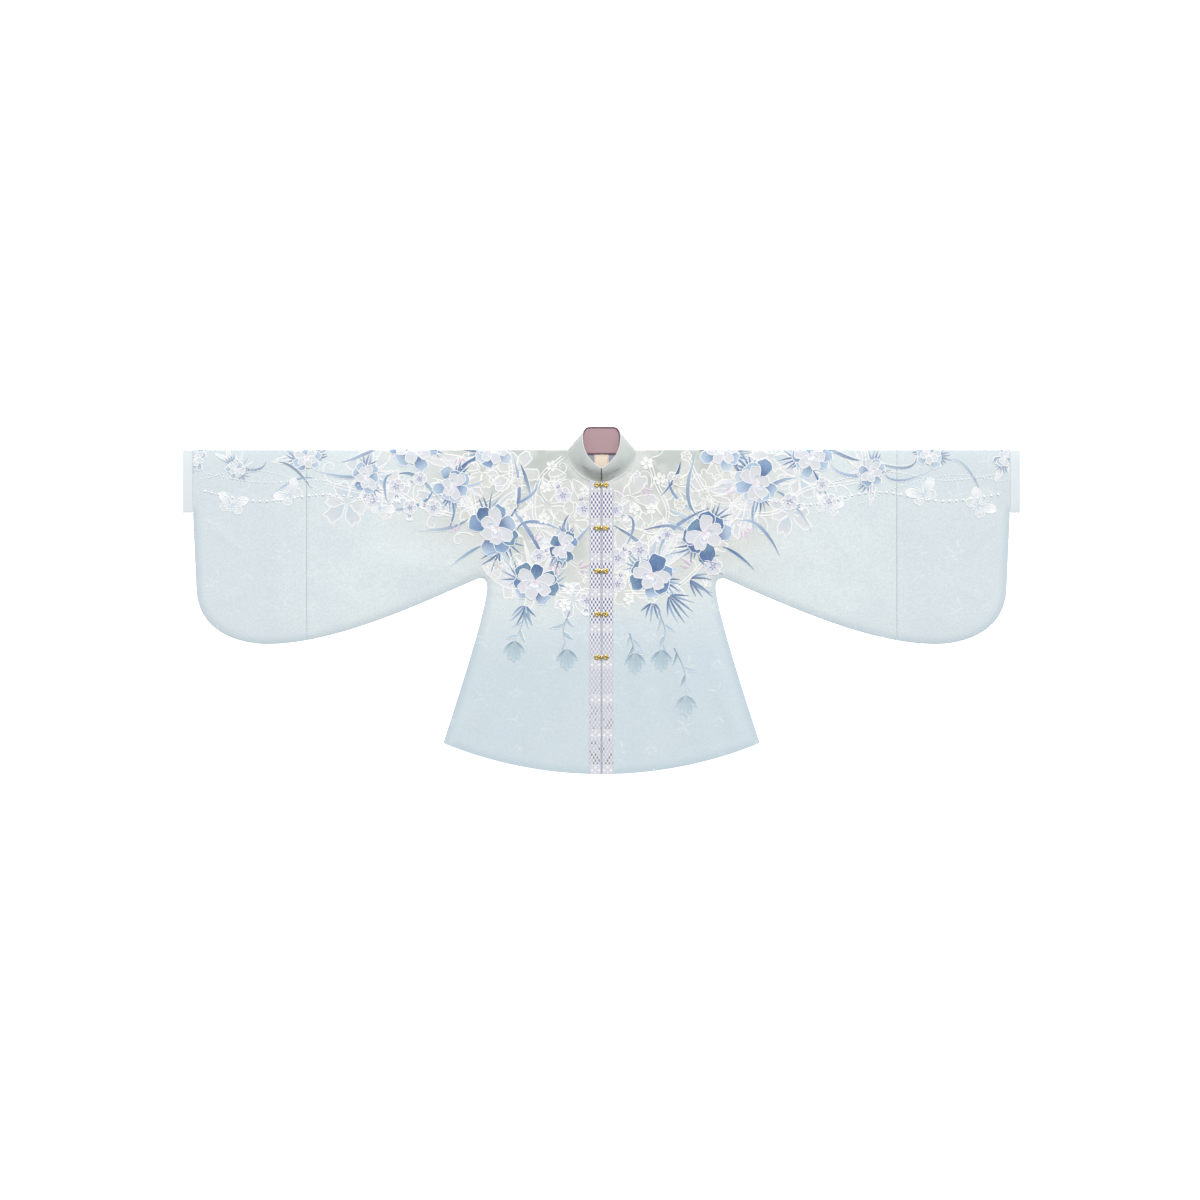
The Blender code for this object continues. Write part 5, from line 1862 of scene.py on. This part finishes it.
def broad_leaf(work, draw, at, turn, long, wide, fill):
    """A large pale leaf, with a cord round it and for each of its veins."""
    line = bow(draw, at, turn, long, 0.4, 18)
    work.ribbon(line, wide, *fill, 5, 2, 2.2)
    work.ribbon(line[:-1], 1.9, "cream", "cream", 6.5, taper=0)
    for k in range(8):
        i = 3 + 3 * (k // 2)
        run = line[i + 1] - line[i]
        hand = 1 if k % 2 else -1
        heading = math.atan2(run[1], run[0]) + hand * 0.62
        reach = wide * 0.62 * math.sin(math.pi * (i / 17) ** 0.8) ** 0.85
        leave = arm(line[i], heading, reach * 0.4)
        arrive = arm(line[i], heading - hand * 0.15, reach * 0.7)
        vein = bezier(line[i], leave, arrive, arm(line[i], heading - hand * 0.3, reach), 5)
        work.ribbon(vein, 1.3, "cream", "mist", 6.3, taper=0)


def curl(work, at, turn, long, hand, wide=2.4):
    """A tendril: a bow that winds up into a small spiral."""
    share = 1 - (1 - np.linspace(0, 1, max(int(long / 2.6), 14))) ** 1.5
    heading = turn + hand * (1.1 * share + 5.4 * share**3)
    steps = np.diff(share, prepend=0)[:, None] * long
    ways = np.stack([np.cos(heading), np.sin(heading)], axis=1)
    line = np.array(at) + np.cumsum(ways * steps, axis=0)
    work.ribbon(line, wide, "cream", "cream", 7.5, taper=0)


def cloud(work, at, size, turn, hand):
    """A cloud scroll: two curls back to back, an inner line and a tail."""
    curl(work, at, turn, size * 2.1, hand, 2.6)
    curl(work, at, turn + hand * 0.5, size * 1.5, -hand, 2.4)
    curl(work, arm(at, turn + math.pi / 2 * hand, -5.5), turn, size * 1.5, hand, 2.0)
    bend, end = arm(at, turn + 2.6 * hand, size * 0.6), arm(at, turn + 2.9 * hand, size * 1.3)
    work.ribbon(curve_through([at, bend, end]), 4.2, "white", "cream", 7.5, taper=1.0)


def vine(work, draw, places, tendrils):
    """Two cords side by side, with tendrils that leave them on alternate sides."""
    line = curve_through(places)
    run = np.gradient(line, axis=0)
    for offset in (-3.2, 3.2):
        work.ribbon(line + offset * left_of(line), 2.5, "cream", "cream", 7, taper=0)
    for k in range(tendrils):
        i = int((k + draw.uniform(0.2, 0.8)) / tendrils * (len(line) - 1))
        hand = 1 if k % 2 else -1
        heading = math.atan2(run[i][1], run[i][0]) + hand * draw.uniform(0.3, 0.8)
        curl(work, line[i], heading, draw.uniform(45, 95), hand)


def branch(work, draw, places, leaves, palette, long, wide):
    """A stem through some places, with leaves on alternate sides."""
    line = curve_through(places)
    work.ribbon(line, 2.4, "dusk", "ice", 8.5, taper=0)
    for k in range(leaves):
        share = (k + 0.5 + draw.uniform(-0.2, 0.2)) / leaves
        i = min(int(share * (len(line) - 1)), len(line) - 2)
        run = line[i + 1] - line[i]
        heading = math.atan2(run[1], run[0]) + (0.75 if k % 2 else -0.75) * draw.uniform(0.6, 1.3)
        start, end = draw.choice(palette)
        reach, broad = draw.uniform(*long), draw.uniform(*wide)
        leaf(work, draw, line[i], heading, reach, broad, start, end, 9 + (k % 3) * 0.5)


def knot(work, at, radius, dye, level):
    """A knot of thread, as a low dome."""
    angles = np.linspace(0, 2 * math.pi, 8, endpoint=False)
    ring = np.stack([np.cos(angles), np.sin(angles)], axis=1)
    top = LIFT + level * LEVEL_STEP
    heights = ((1.0, ROOTS), (1.0, top), (0.6, top + 0.4 * radius))
    rings = [np.column_stack([at + ring * radius * share, np.full(8, z)]) for share, z in heights]
    rings = np.array(rings)
    work.sew(rings, np.broadcast_to(DYES[dye], rings.shape), rings[..., :2] - at)


def knots_along(work, places, gap, radius):
    line = curve_through(places, gap)
    for k, at in enumerate(line):
        knot(work, at, radius if k % 2 else 1.3, "white", 7)


print("a line through three places has", len(curve_through([(0, 0), (30, 8), (60, 0)])), "points")

# %% [markdown]
# The peonies have their places in a table for each side, in millimetres from the middle of the
# shoulder line, and so have the vines. They make a garland from the front band to the underarm,
# over the shoulder and out along the sleeve. The blades, sprigs, rows of knots and fans of
# needles have tables too. Each dye is a pair: at the foot, and at the tip.

# %% The layout
PEONIES = {
    # x, y, radius, and the way that it faces, in degrees
    1: [
        (106, -282, 43, 240),
        (232, -190, 46, 320),
        (344, -72, 42, 20),
        (262, -8, 37, 250),
        (462, -20, 38, 290),
        (596, -50, 28, 340),
        (722, -14, 26, 250),
        (886, -16, 21, 150),
    ],
    -1: [
        (148, -300, 44, 280),
        (80, -214, 31, 200),
        (238, -176, 45, 330),
        (330, -78, 34, 20),
        (236, -6, 36, 250),
        (414, -2, 44, 280),
        (520, -62, 30, 350),
        (648, -22, 27, 260),
        (806, -44, 19, 320),
        (890, -20, 22, 200),
    ],
}
VINES = [
    [(92, -16), (132, -70), (146, -146), (104, -222), (44, -262)],
    [(48, -322), (150, -310), (232, -246), (282, -170), (300, -84), (352, -14)],
    [(320, -150), (388, -130), (448, -88), (530, -84), (612, -64)],
    [(196, -6), (206, -70), (244, -116), (318, -126)],
]
BLADES = [
    # x, y, the way it points, length, width
    (96, -262, 118, 120, 9),
    (128, -240, 62, 150, 10),
    (214, -150, 108, 140, 9),
    (196, -176, 158, 96, 8),
    (262, -216, -30, 84, 8),
    (300, -160, -22, 110, 9),
    (318, -44, 142, 92, 8),
    (376, -96, -38, 120, 9),
    (330, -110, -100, 70, 7),
    (440, -52, 196, 104, 9),
    (492, -44, -24, 128, 9),
    (470, -50, -62, 66, 7),
    (580, -30, 160, 110, 8),
    (626, -66, -14, 96, 7),
    (700, -30, 206, 92, 7),
    (744, -22, -20, 104, 8),
    (180, -30, -110, 84, 8),
    (152, -76, -66, 92, 8),
    (66, -150, -70, 70, 7),
]
SPRIGS = {
    1: [
        [(126, -356), (140, -398), (132, -440)],
        [(160, -436), (182, -486), (186, -540)],
        [(62, -404), (74, -446)],
    ],
    -1: [
        [(70, -356), (84, -398), (76, -438)],
        [(168, -348), (176, -388), (192, -420)],
    ],
}
KNOT_ROWS = [
    [(330, -104), (450, -118), (600, -92), (760, -104), (880, -96)],
    [(480, -82), (620, -58), (760, -74), (870, -58)],
    [(560, -126), (660, -70), (780, -52), (880, -66)],
]
NEEDLES = {
    # x, y, the way they point, how many, length
    1: [
        (150, -322, -48, 7, 66),
        (196, -286, -24, 6, 60),
        (112, -338, -96, 5, 44),
        (214, -240, 10, 5, 52),
    ],
    -1: [
        (168, -344, -80, 6, 52),
        (226, -226, -40, 5, 48),
    ],
}
BLUES = [("navy", "dusk"), ("navy", "blue"), ("denim", "sky")]
BLADE_DYES = [("navy", "sky"), ("dusk", "ice"), ("denim", "sky")]
BLADE_DYES += [("sky", "navy"), ("dusk", "sky"), ("navy", "dusk")]
SOFT = [("fog", "pearl"), ("dusk", "fog"), ("fog", "sky")]
PALE = [("mist", "white"), ("ice", "white"), ("lilac", "white"), ("sky", "ice")]
UNDER_PEONY = [("haze", "mist"), ("lilac", "mist"), ("ice", "haze"), ("sky", "mist")]
print("peonies", {side: len(places) for side, places in PEONIES.items()})

# %% [markdown]
# All that fills the ground between them is scattered by a seeded draw, which keeps each from its
# neighbours. The worked zone is deepest near the front band and narrows out along the sleeve.
# Near the neck the work is white on sage.

# %% Filling the ground
ZONE_X = (30, 120, 240, 300, 380, 480, 640, 880)
ZONE_LOW = (-350, -344, -288, -212, -160, -130, -104, -84)


def scatter(draw, count, gap, taken, far=330):
    """Places inside the worked zone with room round them, most of them near the neck."""
    found = []
    for attempt in range(4000):
        x, y = 30 + (far - 30) * draw.random() ** 1.2, -352 * draw.random()
        clear = all(math.hypot(x - a, y - b) > gap + room for a, b, room in taken)
        if clear and math.hypot(x, y) > NECK_RADIUS / MM + 12 and y > np.interp(x, ZONE_X, ZONE_LOW):
            taken.append((x, y, gap))
            found.append((x, y))
        if len(found) == count:
            break
    return found


def ground_work(side, draw):
    """What lies behind the coloured flowers, nearly all of it pale."""
    work = Needlework()
    for at in scatter(draw, 13, 30, [], 560):
        pale_flower(work, draw, at, draw.uniform(34, 54), draw.uniform(0, 6.3))
    for x, y, radius, facing in PEONIES[side]:
        for k in range(2):
            turn = math.radians(facing) + draw.uniform(1.2, 5.1)
            fill = draw.choice(UNDER_PEONY)
            long, wide = radius * draw.uniform(1.8, 2.6), radius * draw.uniform(0.5, 0.75)
            broad_leaf(work, draw, arm((x, y), turn, radius * 0.5), turn, long, wide, fill)
    for places in VINES:
        vine(work, draw, [(x + draw.uniform(-16, 16), y + draw.uniform(-9, 9)) for x, y in places], 4)
    for at in scatter(draw, 6, 24, []):
        cloud(work, at, draw.uniform(24, 38), draw.uniform(0, 6.3), draw.choice((-1, 1)))
    for at in scatter(draw, 18, 16, [], 520):
        turn, long, hand = draw.uniform(0, 6.3), draw.uniform(46, 100), draw.choice((-1, 1))
        curl(work, at, turn, long, hand, draw.uniform(2.0, 2.6))
    for row, radius in zip(KNOT_ROWS, (2.9, 1.7, 1.3)):
        knots_along(work, [(x, y + draw.uniform(-10, 10)) for x, y in row], 7.6, radius)
    return work


def flower_work(side, draw):
    """The coloured flowers, each kind over the one before."""
    work = Needlework()
    spots = PEONIES[side]
    taken = [(x, y, radius) for x, y, radius, facing in spots]
    for x, y, turn, long, wide in BLADES:
        start, end = draw.choice(BLADE_DYES)
        at = (x + draw.uniform(-12, 12), y + draw.uniform(-12, 12))
        leaf(work, draw, at, math.radians(turn), long * 1.04, wide * 0.98, start, end, 10, 0.95)
    for x, y, radius, facing in spots:
        behind = math.radians(facing + 180)
        foot, long, wide = arm((x, y), behind, radius * 0.5), radius * 2.0, radius * 0.24
        fan(work, draw, foot, behind, 5, long, wide, PALE, 0.9, 7.5)
        for swing in (-1.3, 1.3):
            foot = arm((x, y), behind + swing, radius * 0.7)
            heading = behind + swing * draw.uniform(0.8, 1.2)
            fan(work, draw, foot, heading, 6, radius * 1.15, 3.8, BLUES, 0.75, 10.5)
    for at in scatter(draw, 9, 18, taken, 300):
        fill = "white" if at[0] < 150 else "moss"
        plum(work, draw, at, draw.uniform(12, 15), draw.uniform(0, 6.3), fill)
    for at in scatter(draw, 5, 16, taken, 330):
        fan(work, draw, at, draw.uniform(0, 6.3), 3, 30, 6, [("rose", "lilac")], 0.5, 9.5)
    for place in scatter(draw, 9, 19, taken, 560):
        turn, radius = draw.uniform(0, 6.3), draw.uniform(16, 21)
        tip, fill = arm(place, turn, radius * 0.9), draw.choice(("pink", "lilac"))
        bud(work, draw, tip, turn, radius * 0.9, fill)
        plum(work, draw, place, radius, turn + 1, "lilac")
    for x, y, radius, facing in spots:
        peony(work, draw, (x, y), radius, math.radians(facing))
    for x, y, turn, count, long in NEEDLES[side]:
        fan(work, draw, (x, y), math.radians(turn), count, long, 4.2, BLUES, 0.8, 10.5)
    for places in SPRIGS[side]:
        branch(work, draw, places, 4, SOFT, (24, 38), (6, 9))
        hanging_bud(work, draw, places[-1], 40)
    for x, y in ((500, -128), (690, -100), (806, -124)):
        butterfly(work, draw, (x + draw.uniform(-30, 30), y), draw.uniform(0.5, 2.6), draw.uniform(30, 40))
    return work


print("the worked zone reaches", ZONE_X[-1], "mm out")

# %% [markdown]
# One silk paints all of it: each patch brings its dye along as a colour, and a UV map that runs
# across and along its threads. Each side has two pieces, with a seed of its own.

# %% The embroidery
def make_silk():
    """Satin stitch: dyed thread that lies along each petal."""
    paint = Paint("embroidery_silk", roughness=0.45, Sheen_Weight=0.2)
    dye = paint.node("ShaderNodeAttribute", {"attribute_name": "dye"})
    across, along = paint.uv("stitch")
    strand = paint.noise(paint.point(across * 2.6, along * 0.22), 1.0, 2.0)
    streak = paint.noise(paint.point(across * 0.55, along * 0.07), 1.0, 2.0)
    dyed = paint.mix(paint.ramp(streak, 0.45, 0.75) * 0.22, dye, from_screen(248, 250, 252))
    paint.color(paint.mix((strand - 0.42) * 0.3, dyed, from_screen(248, 250, 252)))
    threads = paint.thread(paint.point(across, along), 0.55)
    paint.bump(threads * 0.6 + strand * 0.4, 0.16 * MM, 0.6)
    paint.rough(0.38 + strand * 0.14)
    return paint


silk = make_silk()
SEEDS = {"left": 11, "right": 29}
for word, side in SIDES.items():
    for layer, work in (("ground", ground_work), ("flowers", flower_work)):
        stitched = work(side, random.Random(SEEDS[word])).mesh("stitching", side)
        flowers = put(f"embroidery_{word}_{layer}", stitched, silk)
        settle(flowers, "satin")
        print(flowers.name, "triangles", sum(len(face.vertices) - 2 for face in stitched.polygons))

# %% [markdown]
# Last, for each sheet the cloth in it is printed next to the size that its cloth was cut to, and each solid
# of the frame is listed as hidden or as still showing.

# %% The cloth in each sheet
for piece, flat_size, rests in SHEETS.values():
    width, length = flat_size
    area = cloth_area(piece)
    print(piece.name, "cloth", round(area, 4), "of", round(width * length, 4))
    min(area, width * length)
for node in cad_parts.values():
    print(node.name, "hidden" if node.hide_render else "SHOWS")
